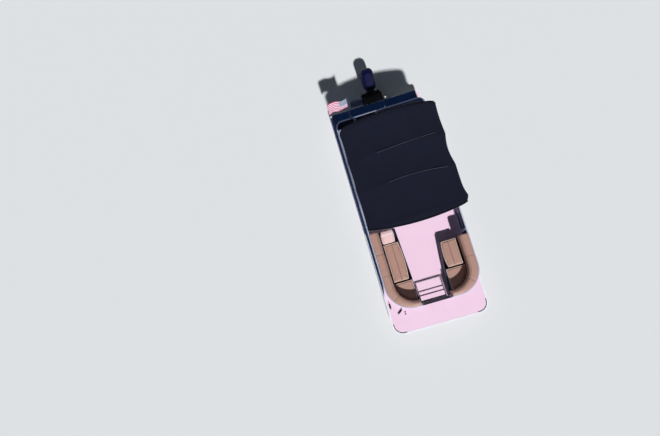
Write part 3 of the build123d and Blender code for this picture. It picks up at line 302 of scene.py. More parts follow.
class FlagCloth:
    """The flag's material: seven red and six pale stripes with a blue corner of small pale dots."""

    name: str = "striped flag cloth"
    slot: str = "flag_cloth"
    bars: int = 13

    def material(self) -> bpy.types.Material:
        """Builds the material from the flag's own coordinates."""
        material = bpy.data.materials.new(self.name)
        graph = Graph(material)
        across = graph.add("UVMap", {"uv_map": "cloth"}).outputs[0]
        u, v, _ = graph.add("SeparateXYZ", Vector=across).outputs
        bars = graph.maths("MODULO", graph.maths("FLOOR", graph.maths("MULTIPLY", v, self.bars - 0.001)), 2.0)
        field_colour = graph.mix(bars, linear("b91f58"), linear("f3e6f2"))
        near_staff, high = graph.maths("LESS_THAN", u, 0.4), graph.maths("GREATER_THAN", v, 6 / self.bars)
        inside = graph.maths("MULTIPLY", near_staff, high)
        grid = graph.add("VectorMath", {"operation": "MULTIPLY"}, in0=across, in1=(27.0, 17.0, 1.0)).outputs[0]
        cell = graph.add("VectorMath", {"operation": "FRACTION"}, in0=grid).outputs[0]
        away = graph.add("VectorMath", {"operation": "DISTANCE"}, in0=cell, in1=(0.5, 0.5, 0.0)).outputs["Value"]
        dots = graph.maths("LESS_THAN", away, 0.3)
        corner = graph.mix(dots, linear("50638f"), linear("e8e6e4"))
        colour = graph.mix(inside, field_colour, corner)
        where = graph.add("TexCoord").outputs["Object"]
        weave = graph.noise(where, 0.002, 2)
        shaded = graph.mix(graph.spread(graph.noise(where, 0.06), 0.3, 0.9), colour, linear("c2a6b2"))
        bump = graph.add("Bump", Height=weave, Distance=0.0004, Strength=0.6)
        mixed = graph.mix(0.82, shaded, colour)
        shader = graph.add("BsdfPrincipled", Base_Color=mixed, Roughness=0.8, Normal=bump.outputs[0])
        shader.inputs["Sheen Weight"].default_value = 0.2
        graph.add("OutputMaterial", Surface=shader.outputs[0])
        return material


# Making of meshes


def place(origin: Vector, forward: Vector = UP, up: Vector = FORE) -> Matrix:
    """Place whose Z runs along a direction.

    Args:
        origin: where the place is.
        forward: direction of its Z.
        up: direction that its X leans towards.

    Returns:
        The place as a matrix.
    """
    z = forward.normalized()
    y = z.cross(up)
    y = y.normalized() if y.length > 1e-6 else z.orthogonal().normalized()
    x = y.cross(z)
    return Matrix.Translation(origin) @ Matrix((x, y, z)).transposed().to_4x4()


def workpieces(count: int) -> "list[Workpiece]":
    """Empty workpieces."""
    return [Workpiece() for _ in range(count)]


def circle(radius: float, sides: int = 10) -> Flat:
    """Round profile for a swept run."""
    return [(radius * cos(tau * k / sides), radius * sin(tau * k / sides)) for k in range(sides)]


def spaced(line: Points, step: float, closed: bool = False) -> Points:
    """The same line with points evenly apart.

    Args:
        line: points of the line.
        step: wanted distance between points.
        closed: whether the last point joins the first.

    Returns:
        The new points.
    """
    loop = line + [line[0]] if closed else line
    lengths = [0.0]
    for a, b in zip(loop, loop[1:]):
        lengths.append(lengths[-1] + (b - a).length)
    count = max(2, round(lengths[-1] / step))
    out, k = [], 0
    for number in range(count if closed else count + 1):
        wanted = lengths[-1] * number / count
        while k < len(loop) - 2 and lengths[k + 1] < wanted:
            k += 1
        part = (wanted - lengths[k]) / max(lengths[k + 1] - lengths[k], 1e-9)
        out.append(loop[k].lerp(loop[k + 1], part))
    return out


def eased(line: Points, rounds: int, closed: bool = False) -> Points:
    """The line with its corners softened by averaging neighbours a number of times."""
    for _ in range(rounds):
        count = len(line)
        line = [
            p if not closed and k in (0, count - 1) else (line[k - 1] + p * 2 + line[(k + 1) % count]) / 4
            for k, p in enumerate(line)
        ]
    return line


class Workpiece:
    """Gathers the faces of one visible piece before it becomes an object."""

    def __init__(self) -> None:
        """Starts with no faces."""
        self.points: Points = []
        self.faces: list[tuple[int, ...]] = []

    def join(self, points: Points, faces: list[tuple[int, ...]], where: Matrix | None = None) -> None:
        """Adds points and faces.

        Args:
            points: the points.
            faces: the numbers of each face's points, counted from the first of these points.
            where: place that the points are moved to.
        """
        first = len(self.points)
        self.points += [where @ p if where else p for p in points]
        self.faces += [tuple(first + k for k in face) for face in faces]

    def skin(self, rows: list[Points], round_rows: bool = True, closed: bool = False, caps: bool = True) -> Self:
        """Adds a skin over rows of points that all have the same count.

        Args:
            rows: the rows.
            round_rows: whether each row closes on itself.
            closed: whether the last row joins the first.
            caps: whether the end rows of a round skin are filled.

        Returns:
            The workpiece.
        """
        count, wide = len(rows), len(rows[0])
        faces = []
        for j in range(count if closed else count - 1):
            for k in range(wide if round_rows else wide - 1):
                a, b = j * wide + k, j * wide + (k + 1) % wide
                c, d = ((j + 1) % count) * wide + (k + 1) % wide, ((j + 1) % count) * wide + k
                faces.append((a, b, c, d))
        if caps and round_rows and not closed:
            faces.append(tuple(range(wide - 1, -1, -1)))
            faces.append(tuple((count - 1) * wide + k for k in range(wide)))
        self.join([p for row in rows for p in row], faces)
        return self

    def run(self, line: Points, profile: Flat, closed: bool = False, up: Vector | None = None) -> None:
        """Adds a profile swept along a line.

        Args:
            line: points of the line.
            profile: points of the profile, across and up.
            closed: whether the line closes on itself.
            up: direction that the profile's second axis leans towards, or None for no fixed one.
        """
        count = len(line)
        rows, lean = [], up
        for k, point in enumerate(line):
            before = line[k - 1] if k or closed else point
            after = line[(k + 1) % count] if k < count - 1 or closed else point
            ahead = (after - before).normalized()
            if lean is None or abs(ahead.dot(lean)) > 0.995:
                lean = ahead.orthogonal()
            side = ahead.cross(lean).normalized()
            rise = side.cross(ahead)
            if up is None:
                lean = rise
            rows.append([point + side * x + rise * y for x, y in profile])
        self.skin(rows, True, closed)

    def tube(self, line: Points, radius: float, closed: bool = False, sides: int = 10) -> None:
        """Adds a round tube along a line."""
        self.run(line, circle(radius, sides), closed)

    def box(
        self, low: Sequence[float], high: Sequence[float], edge: float = 0.003, where: Matrix | None = None
    ) -> None:
        """Adds a block with chamfered edges.

        Args:
            low: its corner with the lowest coordinates.
            high: the opposite corner.
            edge: how far each chamfer goes in.
            where: place that the block is moved to.
        """
        corners, index = [], {}
        for corner in product((0, 1), repeat=3):
            for axis in range(3):
                inward = [0 if k == axis else edge * (1 - 2 * s) for k, s in enumerate(corner)]
                index[(*corner, axis)] = len(corners)
                corners.append(Vector([(high[k] if s else low[k]) + inward[k] for k, s in enumerate(corner)]))
        faces = []
        for axis in range(3):
            axes = (axis, *(k for k in range(3) if k != axis))
            _, u, v = axes

            def number(sides: tuple[int, int, int], facing: int) -> int:
                """Number of a point by its corner's sides along this axis and the others, and by its facing."""
                return index[(*(sides[axes.index(k)] for k in range(3)), facing)]

            for s in (0, 1):
                loop = [number((s, a, b), axis) for a, b in ((0, 0), (1, 0), (1, 1), (0, 1))]
                faces.append(tuple(loop if (s == 1) == (axis != 1) else reversed(loop)))
            for a, b in product((0, 1), repeat=2):
                faces.append((number((0, a, b), u), number((0, a, b), v), number((1, a, b), v), number((1, a, b), u)))
        for corner in {key[:3] for key in index}:
            faces.append(tuple(index[(*corner, axis)] for axis in range(3)))
        self.join(corners, faces, where)

    def turned(self, profile: Flat, where: Matrix, sides: int = 20) -> None:
        """Adds a turned form.

        Args:
            profile: radius and height pairs from foot to top.
            where: place of the form, its Z the axis.
            sides: points around.
        """
        rows = [[where @ Vector((x, y, height)) for x, y in circle(radius, sides)] for radius, height in profile]
        self.skin(rows)

    def screws(self, places: list[Matrix], size: float = 0.006) -> None:
        """Adds a domed screw head with a sunken socket at each place."""
        dome = [(size * r, size * h) for r, h in ((1, 0), (1, 0.25), (0.8, 0.5), (0.35, 0.55), (0.3, 0.2))]
        for where in places:
            self.turned(dome, where, 10)

    def build(
        self, name: str, finish: Finish | FlagCloth, body: str = "boat", slot: str = "", smooth: float = 38
    ) -> bpy.types.Object:
        """Makes the piece's object, with its finish, on its body.

        Args:
            name: the piece's name.
            finish: its finish.
            body: the body that it rides on.
            slot: not used.
            smooth: angle in degrees up to which edges are shaded smooth.

        Returns:
            The new object.
        """
        mesh = bpy.data.meshes.new(name)
        mesh.from_pydata([tuple(p) for p in self.points], [], self.faces)
        with edited(mesh) as bm:
            bmesh.ops.recalc_face_normals(bm, faces=bm.faces)
        mesh.polygons.foreach_set("use_smooth", [True] * len(mesh.polygons))
        mesh.set_sharp_from_angle(angle=radians(smooth))
        return dress(new_object(name, mesh), body, finish)


def new_object(name: str, data: bpy.types.ID) -> bpy.types.Object:
    """A new object in the scene with a mesh, a camera or a lamp."""
    made = bpy.data.objects.new(name, data)
    bpy.context.scene.collection.objects.link(made)
    return made


def dress(piece: bpy.types.Object, body: str, finish: Finish | FlagCloth) -> bpy.types.Object:
    """Gives an object what a piece needs.

    Args:
        piece: the object.
        body: the body that it rides on.
        finish: its finish.

    Returns:
        The same object.
    """
    put_on(piece.data, finish)
    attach(piece, body)
    return piece


def put_on(mesh: bpy.types.Mesh, finish: Finish | FlagCloth) -> None:
    """Gives a mesh one finish."""
    mesh.materials.clear()
    mesh.materials.append(finish.material())


def finish_nodes(finish: Finish, *nodes: str) -> None:
    """Gives CAD nodes a finish."""
    for node in nodes:
        put_on(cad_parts[node].data, finish)


def thicken(cloth: bpy.types.Object, thick: float) -> None:
    """Makes a sheet as thick as cloth, half to each side."""
    layer = cloth.modifiers.new("thickness", "SOLIDIFY")
    layer.thickness, layer.offset = thick, 0


@contextmanager
def edited(mesh: bpy.types.Mesh) -> Iterator[bmesh.types.BMesh]:
    """Opens a mesh for editing and writes what was changed back to it."""
    bm = bmesh.new()
    bm.from_mesh(mesh)
    yield bm
    bm.to_mesh(mesh)
    bm.free()


def vectors(mesh: bpy.types.Mesh, what: str = "co") -> np.ndarray:
    """The places of a mesh's points, or another vector that each of them has."""
    out = np.zeros(len(mesh.vertices) * 3)
    mesh.vertices.foreach_get(what, out)
    return out.reshape(-1, 3)


def node_mesh(node: str) -> bmesh.types.BMesh:
    """The CAD node's mesh with its split points merged."""
    bm = bmesh.new()
    bm.from_mesh(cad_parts[node].data)
    bmesh.ops.remove_doubles(bm, verts=bm.verts, dist=1e-5)
    return bm


def face_loops(node: str, direction: Vector) -> list[Points]:
    """Outlines of the CAD node's flat faces that look along a direction.

    Args:
        node: the CAD node.
        direction: the direction.

    Returns:
        One closed line for each outline, longest first.
    """
    bm = node_mesh(node)
    facing = {f for f in bm.faces if f.normal.dot(direction.normalized()) > 0.995}
    follow = defaultdict(list)
    for edge in bm.edges:
        if sum(f in facing for f in edge.link_faces) == 1:
            a, b = edge.verts
            follow[a].append(b)
            follow[b].append(a)
    loops, seen = [], set()
    for start in list(follow):
        if start in seen:
            continue
        loop, here = [], start
        while here is not None and here not in seen:
            seen.add(here)
            loop.append(here.co.copy())
            here = next((v for v in follow[here] if v not in seen), None)
        loops.append(loop)
    bm.free()
    return sorted(loops, key=lambda line: -sum((b - a).length for a, b in zip(line, line[1:])))


class Surface:
    """A piece's surface, for laying seams and piping on it."""

    def __init__(self, piece: bpy.types.Object) -> None:
        """Reads the piece's mesh."""
        mesh = piece.data
        faces = [tuple(p.vertices) for p in mesh.polygons]
        self.tree = BVHTree.FromPolygons([v.co.copy() for v in mesh.vertices], faces)

    def lay(self, line: Points, lift: float = 0.0) -> Points:
        """Moves points to the nearest place on the surface.

        Args:
            line: the points.
            lift: how far they are raised along the surface's normal.

        Returns:
            The moved points.
        """
        out = []
        for p in line:
            spot, normal, _, _ = self.tree.find_nearest(p)
            out.append(spot + normal * lift)
        return out

    def drop(self, line: Points, direction: Vector, lift: float = 0.0) -> Points:
        """Moves points along a direction onto the surface.

        Args:
            line: the points.
            direction: the direction.
            lift: how far before the surface they stop.

        Returns:
            The moved points, without those that miss the surface.
        """
        out = []
        for p in line:
            spot = self.tree.ray_cast(p, direction)[0]
            if spot is not None:
                out.append(spot - direction.normalized() * lift)
        return out


# Padded pieces

SIMULATED_FRAMES = 20


@dataclass
class Pad:
    """One padded piece that starts from a CAD solid, swells as stuffed cloth and gets its seams."""

    node: str
    body: str
    finish: Finish = TAN_VINYL
    shrink: float = 0.007
    voxel: float = 0.013
    cap: float = 0.016
    fill: float = 0.7
    rounds: int = 5
    held_height: float = 0.012
    piece: bpy.types.Object | None = None
    start: np.ndarray | None = field(default=None, repr=False)

    def prepare(self) -> None:
        """Makes the pad's start: the CAD solids a little smaller, remeshed and smoothed."""
        bm = node_mesh(self.node)
        for island in self.islands(bm):
            low = Vector([min(v.co[k] for v in island) for k in range(3)])
            high = Vector([max(v.co[k] for v in island) for k in range(3)])
            middle = (low + high) / 2
            for v in island:
                for k in range(3):
                    v.co[k] = middle[k] + (v.co[k] - middle[k]) * (1 - 2 * self.shrink / (high[k] - low[k]))
        mesh = bpy.data.meshes.new(self.node + "_pad")
        bm.to_mesh(mesh)
        bm.free()
        piece = new_object(mesh.name, mesh)
        remesh = piece.modifiers.new("remesh", "REMESH")
        remesh.mode, remesh.voxel_size = "VOXEL", self.voxel
        graph = bpy.context.evaluated_depsgraph_get()
        piece.data = bpy.data.meshes.new_from_object(piece.evaluated_get(graph))
        piece.modifiers.clear()
        every_way = {f"use_axis_{axis}": True for axis in "xyz"}
        with edited(piece.data) as bm:
            for _ in range(self.rounds):
                bmesh.ops.smooth_vert(bm, verts=bm.verts, factor=0.5, **every_way)
        self.piece = piece
        self.start = vectors(piece.data)

    @staticmethod
    def islands(bm: bmesh.types.BMesh) -> list[list[bmesh.types.BMVert]]:
        """The mesh's separate solids.

        Args:
            bm: the mesh.

        Returns:
            The points of each solid.
        """
        left, out = set(bm.verts), []
        while left:
            stack, island = [left.pop()], []
            while stack:
                v = stack.pop()
                island.append(v)
                for edge in v.link_edges:
                    other = edge.other_vert(v)
                    if other in left:
                        left.remove(other)
                        stack.append(other)
            out.append(island)
        return out

    def stuff(self) -> None:
        """Adds the cloth that will swell, with the underside held."""
        held = self.piece.vertex_groups.new(name="held")
        floor = self.start[:, 2].min() + self.held_height
        held.add([int(k) for k in np.nonzero(self.start[:, 2] < floor)[0]], 1.0, "REPLACE")
        cloth = self.piece.modifiers.new("stuffing", "CLOTH")
        settings = cloth.settings
        settings.use_pressure, settings.uniform_pressure_force = True, 4.0
        settings.quality = 4
        settings.tension_stiffness = settings.compression_stiffness = 22
        settings.vertex_group_mass = held.name
        settings.effector_weights.gravity = 0
        cloth.point_cache.frame_end = SIMULATED_FRAMES

    def settle(self) -> None:
        """Takes the swollen form, with no point moved further than the cap."""
        graph = bpy.context.evaluated_depsgraph_get()
        self.take(vectors(bpy.data.meshes.new_from_object(self.piece.evaluated_get(graph))) - self.start)

    def take(self, moves: np.ndarray) -> None:
        """Moves the piece's points, puts its finish on and lets it stand for its CAD node.

        Args:
            moves: each point's move, cut down to the cap if it is longer.
        """
        size = np.linalg.norm(moves, axis=1, keepdims=True)
        moves = moves * np.minimum(1.0, self.cap / np.maximum(size, 1e-9))
        self.piece.data.vertices.foreach_set("co", (self.start + moves).ravel())
        self.piece.modifiers.clear()
        self.piece.vertex_groups.clear()
        for p in self.piece.data.polygons:
            p.use_smooth = True
        dress(self.piece, self.body, self.finish)
        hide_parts(self.node)

    def groove(self, line: Points, depth: float, width: float = 0.013) -> None:
        """Presses a sewn line into the pad.

        Args:
            line: the line, near the surface.
            depth: depth at the line, in metres.
            width: half width at which the groove fades.
        """
        small = 1e-4
        corners = [p for q in line for p in (q, q + UP * small, q + FORE * small)]
        near = BVHTree.FromPolygons(corners, [(3 * k, 3 * k + 1, 3 * k + 2) for k in range(len(line))])
        mesh = self.piece.data
        normals = [v.normal.copy() for v in mesh.vertices]
        for v, n in zip(mesh.vertices, normals):
            _, _, _, away = near.find_nearest(v.co, 3 * width)
            if away is not None:
                v.co -= n * depth * exp(-((away / width) ** 2))
        mesh.update()

    def refine(self) -> None:
        """Subdivides the pad once so that its curves are smooth."""
        with edited(self.piece.data) as bm:
            bmesh.ops.subdivide_edges(bm, edges=bm.edges, cuts=1, use_grid_fill=True, smooth=0.6)
            for f in bm.faces:
                f.smooth = True

    def pipe(self, name: str, lines: list[Points], radius: float = 0.0055) -> None:
        """Sews piping on the pad.

        Args:
            name: the piping's name.
            lines: closed lines near the pad's surface.
            radius: radius of the piping.
        """
        work, surface = Workpiece(), Surface(self.piece)
        for line in lines:
            laid = eased(surface.lay(spaced(line, 0.022, True), 0.3 * radius), 2, True)
            work.tube(laid, radius, True, 8)
        work.build(name, PIPING, self.body)

    def stitch(self, name: str, lines: list[Points]) -> None:
        """Lays the thread of sewn lines in their grooves.

        Args:
            name: the thread's name.
            lines: lines near the pad's surface.
        """
        work, surface = Workpiece(), Surface(self.piece)
        for line in lines:
            work.tube(surface.lay(spaced(line, 0.02), 0.0004), 0.0036, False, 6)
        work.build(name, THREAD, self.body)


def swell(pads: list[Pad]) -> None:
    """Args:
        pads: the pads.
    """
    for pad in pads:
        pad.prepare()
    for pad in pads:
        pad.stuff()
    scene = bpy.context.scene
    scene.frame_start, scene.frame_end = 1, SIMULATED_FRAMES
    for number in range(1, SIMULATED_FRAMES + 1):
        scene.frame_set(number)
    for pad in pads:
        pad.settle()
    scene.frame_set(1)


# Plans shared by the fence and the seats


@dataclass(frozen=True)
class Plan:
    """Outline seen from above, in drawing millimetres, with a radius at its stern and bow corners."""

    stern: float
    bow: float
    half: float
    stern_radius: float
    bow_radius: float

    def inset(self, by: float) -> "Plan":
        """The outline moved inward."""
        return Plan(self.stern + by, self.bow - by, self.half - by, self.stern_radius - by, self.bow_radius - by)

    def outside(self, x: float, y: float) -> float:
        """Distance of a point outside the outline, negative inside it."""
        radius = self.bow_radius if x > (self.stern + self.bow) / 2 else self.stern_radius
        middle, long = (self.stern + self.bow) / 2, (self.bow - self.stern) / 2
        dx, dy = abs(x - middle) - (long - radius), abs(y) - (self.half - radius)
        return hypot(max(dx, 0), max(dy, 0)) + min(max(dx, dy), 0) - radius

    def reach(self, x: float, y: float, nx: float, ny: float) -> float:
        """Distance from a point inside to the outline along a direction.

        Args:
            x: the point's place along the boat.
            y: its place across the boat.
            nx: the direction's part along the boat.
            ny: the direction's part across the boat.

        Returns:
            The distance, found by halving.
        """
        low, high, halvings = 0.0, 900.0, 40
        for _ in range(halvings):
            middle = (low + high) / 2
            if self.outside(x + nx * middle, y + ny * middle) < 0:
                low = middle
            else:
                high = middle
        return low

    def corner(self, bow: bool, side: int, from_x: float, to_y: float, step: float) -> list[Station]:
        """Line along one side and round a corner.

        Args:
            bow: whether the corner is at the bow.
            side: -1 for starboard, 1 for port.
            from_x: where the line starts on the side.
            to_y: where it ends on the bow or stern, as a distance from the middle line on its side.
            step: distance between points.

        Returns:
            Points as x, y and the outward direction's x, y.
        """
        radius = self.bow_radius if bow else self.stern_radius
        end = self.bow if bow else self.stern
        way = 1 if bow else -1
        cx, cy = end - way * radius, self.half - radius
        out = []
        count = max(2, round(abs(cx - from_x) / step))
        out += [(from_x + (cx - from_x) * k / count, self.half, 0.0, 1.0) for k in range(count)]
        count = max(4, round(radius * pi / 2 / step))
        for k in range(count + 1):
            a = pi / 2 * (1 - k / count)
            out.append((cx + way * radius * cos(a), cy + radius * sin(a), way * cos(a), sin(a)))
        if to_y < cy - 1:
            count = max(2, round((cy - to_y) / step))
            out += [(end, cy - (cy - to_y) * k / count, float(way), 0.0) for k in range(1, count + 1)]
        return [(x, side * y, nx, side * ny) for x, y, nx, ny in out]

    def loop(self, z: float, step: float = 40) -> Points:
        """The whole outline as points at a height."""
        line = []
        for bow, side in ((True, -1), (False, 1)):
            line += self.corner(bow, side, AMIDSHIPS, 0, step) + self.corner(bow, -side, AMIDSHIPS, 0, step)[::-1]
        return spaced([at(x, y, z) for x, y, _, _ in line], step / 1000, True)


# Outer edges of the deck and the fence, and the face of the backrests
DECK_PLAN = Plan(0, 6315, 1295, 60, 280)
FENCE_PLAN = Plan(470, 5680, 1220, 180, 650)
BACK_PLAN = Plan(720, 5540, 985, 120, 550)


# The boat


@dataclass
class Hull:
    """Tubes, pod and the frame under the deck, with their welds."""

    tube_y: float = 940
    tube_radius: float = 305
    tube_height: float = 325
    weld_places: tuple[float, ...] = (150, 1690, 3220, 4750)
    transom_x: float = -371

    def build(self) -> None:
        """Dresses the hull."""
        finish_nodes(ALUMINIUM, "tube_starboard", "tube_port", "risers", "cross_channels")
        finish_nodes(POD_PAINT_AND_SHADE, "motor_pod")
        work, bolts = workpieces(2)
        plug = [(0.024, 0), (0.024, 0.006), (0.013, 0.008), (0.013, 0.018), (0.004, 0.02)]
        for side in SIDES:
            middle = side * self.tube_y
            for x in self.weld_places:
                ring = [at(x, middle + y, self.tube_height + z) for y, z in circle(self.tube_radius, 48)]
                work.tube(ring, 0.0035, True, 6)
            work.turned(plug, place(at(20, middle, 150), AFT), 16)
        spots = product((-200, -160, 160, 200), (300, 420, 560))
        bolts.screws([place(at(self.transom_x, y, z), AFT) for y, z in spots], 0.011)
        work.build("tube_welds", ALUMINIUM)
        bolts.build("transom_bolts", STEEL)


@dataclass
class DeckFloor:
    """Deck covering, its edge trim, corner strips and small deck fittings."""

    strip_inset: float = 44
    strip_width: float = 24
    strip_ends: tuple[float, float] = (5990, 960)
    ledge_shade_lip: float = 1279
    mat_inset: float = 46
    mat_sides: tuple[float, float] = (-1235, 1170)
    mat_ribs: int = 15

    def build(self) -> None:
        """Dresses the deck."""
        finish_nodes(DECK_WEAVE, "deck")
        finish_nodes(TRIM, "deck_trim")
        strips, screws, insert, fill = workpieces(4)
        half, high = self.strip_width / 2000, 0.006
        profile = [(-half, 0), (half, 0), (half * 0.8, high), (-half * 0.8, high)]
        for side in SIDES:
            line = DECK_PLAN.inset(self.strip_inset).corner(True, side, *self.strip_ends, 20)
            strips.run([at(x, y, DECK_TOP + 0.5) for x, y, _, _ in line], profile, up=UP)
            screws.screws([place(at(x, y, DECK_TOP + 6.5)) for x, y, _, _ in line[4::9]])
        screws.screws([place(p) for p in DECK_PLAN.inset(18).loop(DECK_TOP + 3, 300)], 0.005)
        lip = [(-0.001, -0.011), (0.0015, -0.008), (0.0015, 0.008), (-0.001, 0.011)]
        insert.run(DECK_PLAN.inset(0.5).loop(768), lip, True, UP)
        cap = place(at(300, 900, DECK_TOP + 0.5))
        lid = [(0.045, 0), (0.045, 0.004), (0.04, 0.006), (0.03, 0.006), (0.028, 0.009), (0.006, 0.009)]
        fill.turned(lid, cap, 28)
        fill.box((-0.02, -0.004, 0.008), (0.02, 0.004, 0.012), 0.002, cap)
        strips.build("bow_corner_strips", NAVY_RAIL)
        screws.build("trim_screws", STEEL)
        insert.build("rub_strip", RUBBER, slot="trim_metal")
        fill.build("deck_filler_cap", STEEL)
        self.stern_shade_mat()
        self.side_ledge_shades()

    def side_ledge_shades(self) -> None:
        """Lays dark strips on the deck outboard of the fence as painted shade; the starboard one also covers the edge
        trim.
        """
        shade_strips, lip = Workpiece(), self.ledge_shade_lip
        for side, aft, fore, outer in ((-1, 60, 3480, 1293), (-1, 3480, 5240, 1280), (1, 480, 5240, 1280)):
            rows = []
            for k in range(41):
                x = aft + (fore - aft) * k / 40
                inner = 1224 + 54 * max(0.0, (x - 4930) / 310) ** 1.6
                ring = [(inner, 0.3), (lip, 0.3), (lip, 3.5), (outer, 3.5), (outer, 5.2), (inner + 0.5, 5.9)]
                rows.append([at(x, side * y, DECK_TOP + z) for y, z in ring])
            shade_strips.skin(rows)
        shade_strips.build("side_ledge_shades", LEDGE_SHADE)

    def stern_shade_mat(self) -> None:
        """Lays painted shade of the top: a ribbed mat with a rounded outline behind the fence, and a cap on the stern
        trim.
        """
        mat, plan = Workpiece(), DECK_PLAN.inset(self.mat_inset)
        line = plan.corner(False, -1, 466, 0, 25) + plan.corner(False, 1, 466, 0, 25)[::-1][1:]
        foot = [at(x, min(y, self.mat_sides[1] + 12), DECK_TOP + 0.3) for x, y, _, _ in line]
        rise = [p + UP * 0.004 for p in foot]
        middle = at(256, 0, DECK_TOP + 4.3)
        mat.skin([foot, rise, [middle + (p - middle) * 0.994 for p in rise]])
        starboard, port = self.mat_sides
        for x in range(70, 70 + 27 * self.mat_ribs, 27):
            mat.box(at(x, starboard, DECK_TOP + 4), at(x + 14, port, DECK_TOP + 6), 0.0008)
        # The second box caps the stern trim with the same painted shade.
        for aft, fore, low in ((14.5, 48, 0.3), (1.5, 15, 3.3)):
            mat.box(at(aft, starboard - 3, DECK_TOP + low), at(fore, port + 20, DECK_TOP + 5.6), 0.0008)
        mat.build("stern_shade_mat", STERN_SHADE_MAT)


@dataclass
class Fence:
    """Fence frames and panels with their feet, rivets and stripes, and the three gates with latches and skins."""

    side_gate: tuple[float, float] = (3380, 4170)
    stripes: tuple[tuple[float, float], ...] = ((1290, 38), (1210, 9), (1180, 5))
    rail_x: float = 5664
    rail_z: float = 1549
    sleeve_profile: tuple[tuple[float, float], ...] = (
        (-0.017, -0.020), (-0.017, 0.012), (-0.011, 0.0185), (0.011, 0.0185), (0.017, 0.012), (0.017, -0.020),
    )

    def stations(self, places: range) -> list[tuple[int, int]]:
        """Sides and places along both of them, without those in the side gate."""
        aft, fore = self.side_gate
        return [(side, x) for side in SIDES for x in places if side < 0 or not aft < x < fore]

    def build(self) -> None:
        """Dresses the fence and the gates."""
        finish_nodes(RAIL, "fence_bow", "fence_sides", "gate_side", "gate_stern")
        # The stern rail takes the shaded copy of the rail finish as painted shade.
        finish_nodes(SHADED_STERN_RAIL, "fence_stern")
        finish_nodes(PANEL, "fence_panels")
        finish_nodes(NAVY_RAIL, "gate_bow")
        rivets, feet, stripe, filler = workpieces(4)
        for side, x in self.stations(range(760, 4960, 150)):
            rivets.screws([place(at(x, side * 1206.3, z), PORT * side) for z in (872, 1522)], 0.004)
        for side, x in self.stations(range(700, 4990, 715)):
            feet.box((-0.03, -0.022, 0), (0.03, 0.022, 0.0275), 0.004, place(at(x, side * 1204, DECK_TOP + 0.3)))
        for side, aft, fore in ((-1, 700, 4980), (1, 700, 3390), (1, 4160, 4980)):
            for z, half in self.stripes:
                y = side * 1206.2
                stripe.box(at(aft, y - 0.8, z - half), at(fore, y + 0.8, z + half), 0.0005)
        for side, x in product(SIDES, (648, 696, 4953, 5001)):
            y = side * 1204
            filler.box(at(x - 0.5, y - 2, 860), at(x + 16.5, y + 2, 1533), 0.0005)
        rivets.build("panel_rivets", STEEL)
        feet.build("fence_feet", RAIL)
        stripe.build("panel_stripes", STRIPE)
        filler.build("panel_fillers", PANEL)
        self.latches()
        self.sleeve()
        self.gate_skins()

    @staticmethod
    def gate_skins() -> None:
        """Covers the panels of the side and stern gates on both faces with navy sheet."""
        side, stern = workpieces(2)
        for low, high in ((862.5, 1187), (1208.5, 1536.5)):
            side.box(at(3450.5, 1201, low), at(4099.5, 1207, high), 0.0008)
            stern.box(at(483, -649.5, low), at(489, -100.5, high), 0.0008)
        side.build("side_gate_skin", PANEL, "side gate")
        stern.build("stern_gate_skin", PANEL, "stern gate")

    def sleeve(self) -> None:
        """Covers the bow gate's top rail with a dark grip sleeve and the posts beside it with caps."""
        grip, caps = workpieces(2)
        line = spaced([at(self.rail_x, -380, self.rail_z), at(self.rail_x, 320, self.rail_z)], 0.02)
        grip.run(line, self.sleeve_profile, False, UP)
        for y in (-411, 351):
            caps.run([at(self.rail_x, y + k, self.rail_z) for k in (-15, 0, 15)], self.sleeve_profile, False, UP)
        grip.build("gate_sleeve", NAVY_RAIL, "bow gate")
        caps.build("post_caps", NAVY_RAIL)

    def latches(self) -> None:
        """Adds the gates' slide latches and knobs."""
        for body, spot, inward in (
            ("bow gate", at(self.rail_x, 309, 1500), AFT),
            ("side gate", at(3436, 1202, 1500), -PORT),
            ("stern gate", at(488, -86, 1500), FORE),
        ):
            work, where = Workpiece(), place(spot, inward, UP)
            work.box((-0.035, -0.014, 0.012), (0.035, 0.014, 0.022), 0.003, where)
            work.turned([(0.007, 0.02), (0.006, 0.034), (0.011, 0.038), (0.012, 0.044), (0.008, 0.049)], where, 14)
            work.build(body.replace(" ", "_") + "_latch", STEEL, body)


@dataclass
class Lounges:
    """Seat cushions, corner seats, benches, chaise and the helm chair's pads."""

    seam_depth: float = 0.009
    chaise_slope: tuple[float, float, float] = (0.805, 0, 0.593)

    def build(self) -> None:
        """Builds every padded seat."""
        finish_nodes(BASE, "lounge_base_starboard", "lounge_base_port", "lounge_base_aft")
        names = (
            ("seat_starboard", "starboard seat lid"), ("seat_port", "port seat lid"), ("seat_aft", "aft seat lid"),
            ("bench_aft", "boat"), ("corner_seats", "boat"), ("chaise", "boat"), ("chair_cushions", "helm chair"),
        )
        pads = {node: Pad(node, body) for node, body in names}
        pads["chaise"].finish = CREAM_VINYL
        swell(list(pads.values()))
        for node, pad in pads.items():
            facing = Vector(self.chaise_slope) if node == "chaise" else UP
            loops = [line for line in face_loops(node, facing) if len(line) > 3]
            seams = self.seams(node)
            for line in seams:
                pad.groove(Surface(pad.piece).lay(spaced(line, 0.01)), self.seam_depth)
            pad.refine()
            pad.pipe(node + "_piping", loops)
            if seams:
                pad.stitch(node + "_thread", seams)

    @staticmethod
    def seams(node: str) -> list[Points]:
        """The line sewn along the middle of a long cushion, or nothing for the others."""
        low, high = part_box(node)
        middle, top, end = (low + high) / 2, high.z, 0.02
        if node in ("seat_starboard", "seat_port", "seat_aft"):
            return [[Vector((low.x + end, middle.y, top)), Vector((high.x - end, middle.y, top))]]
        if node == "bench_aft":
            return [[Vector((middle.x, low.y + end, top)), Vector((middle.x, high.y - end, top))]]
        return []


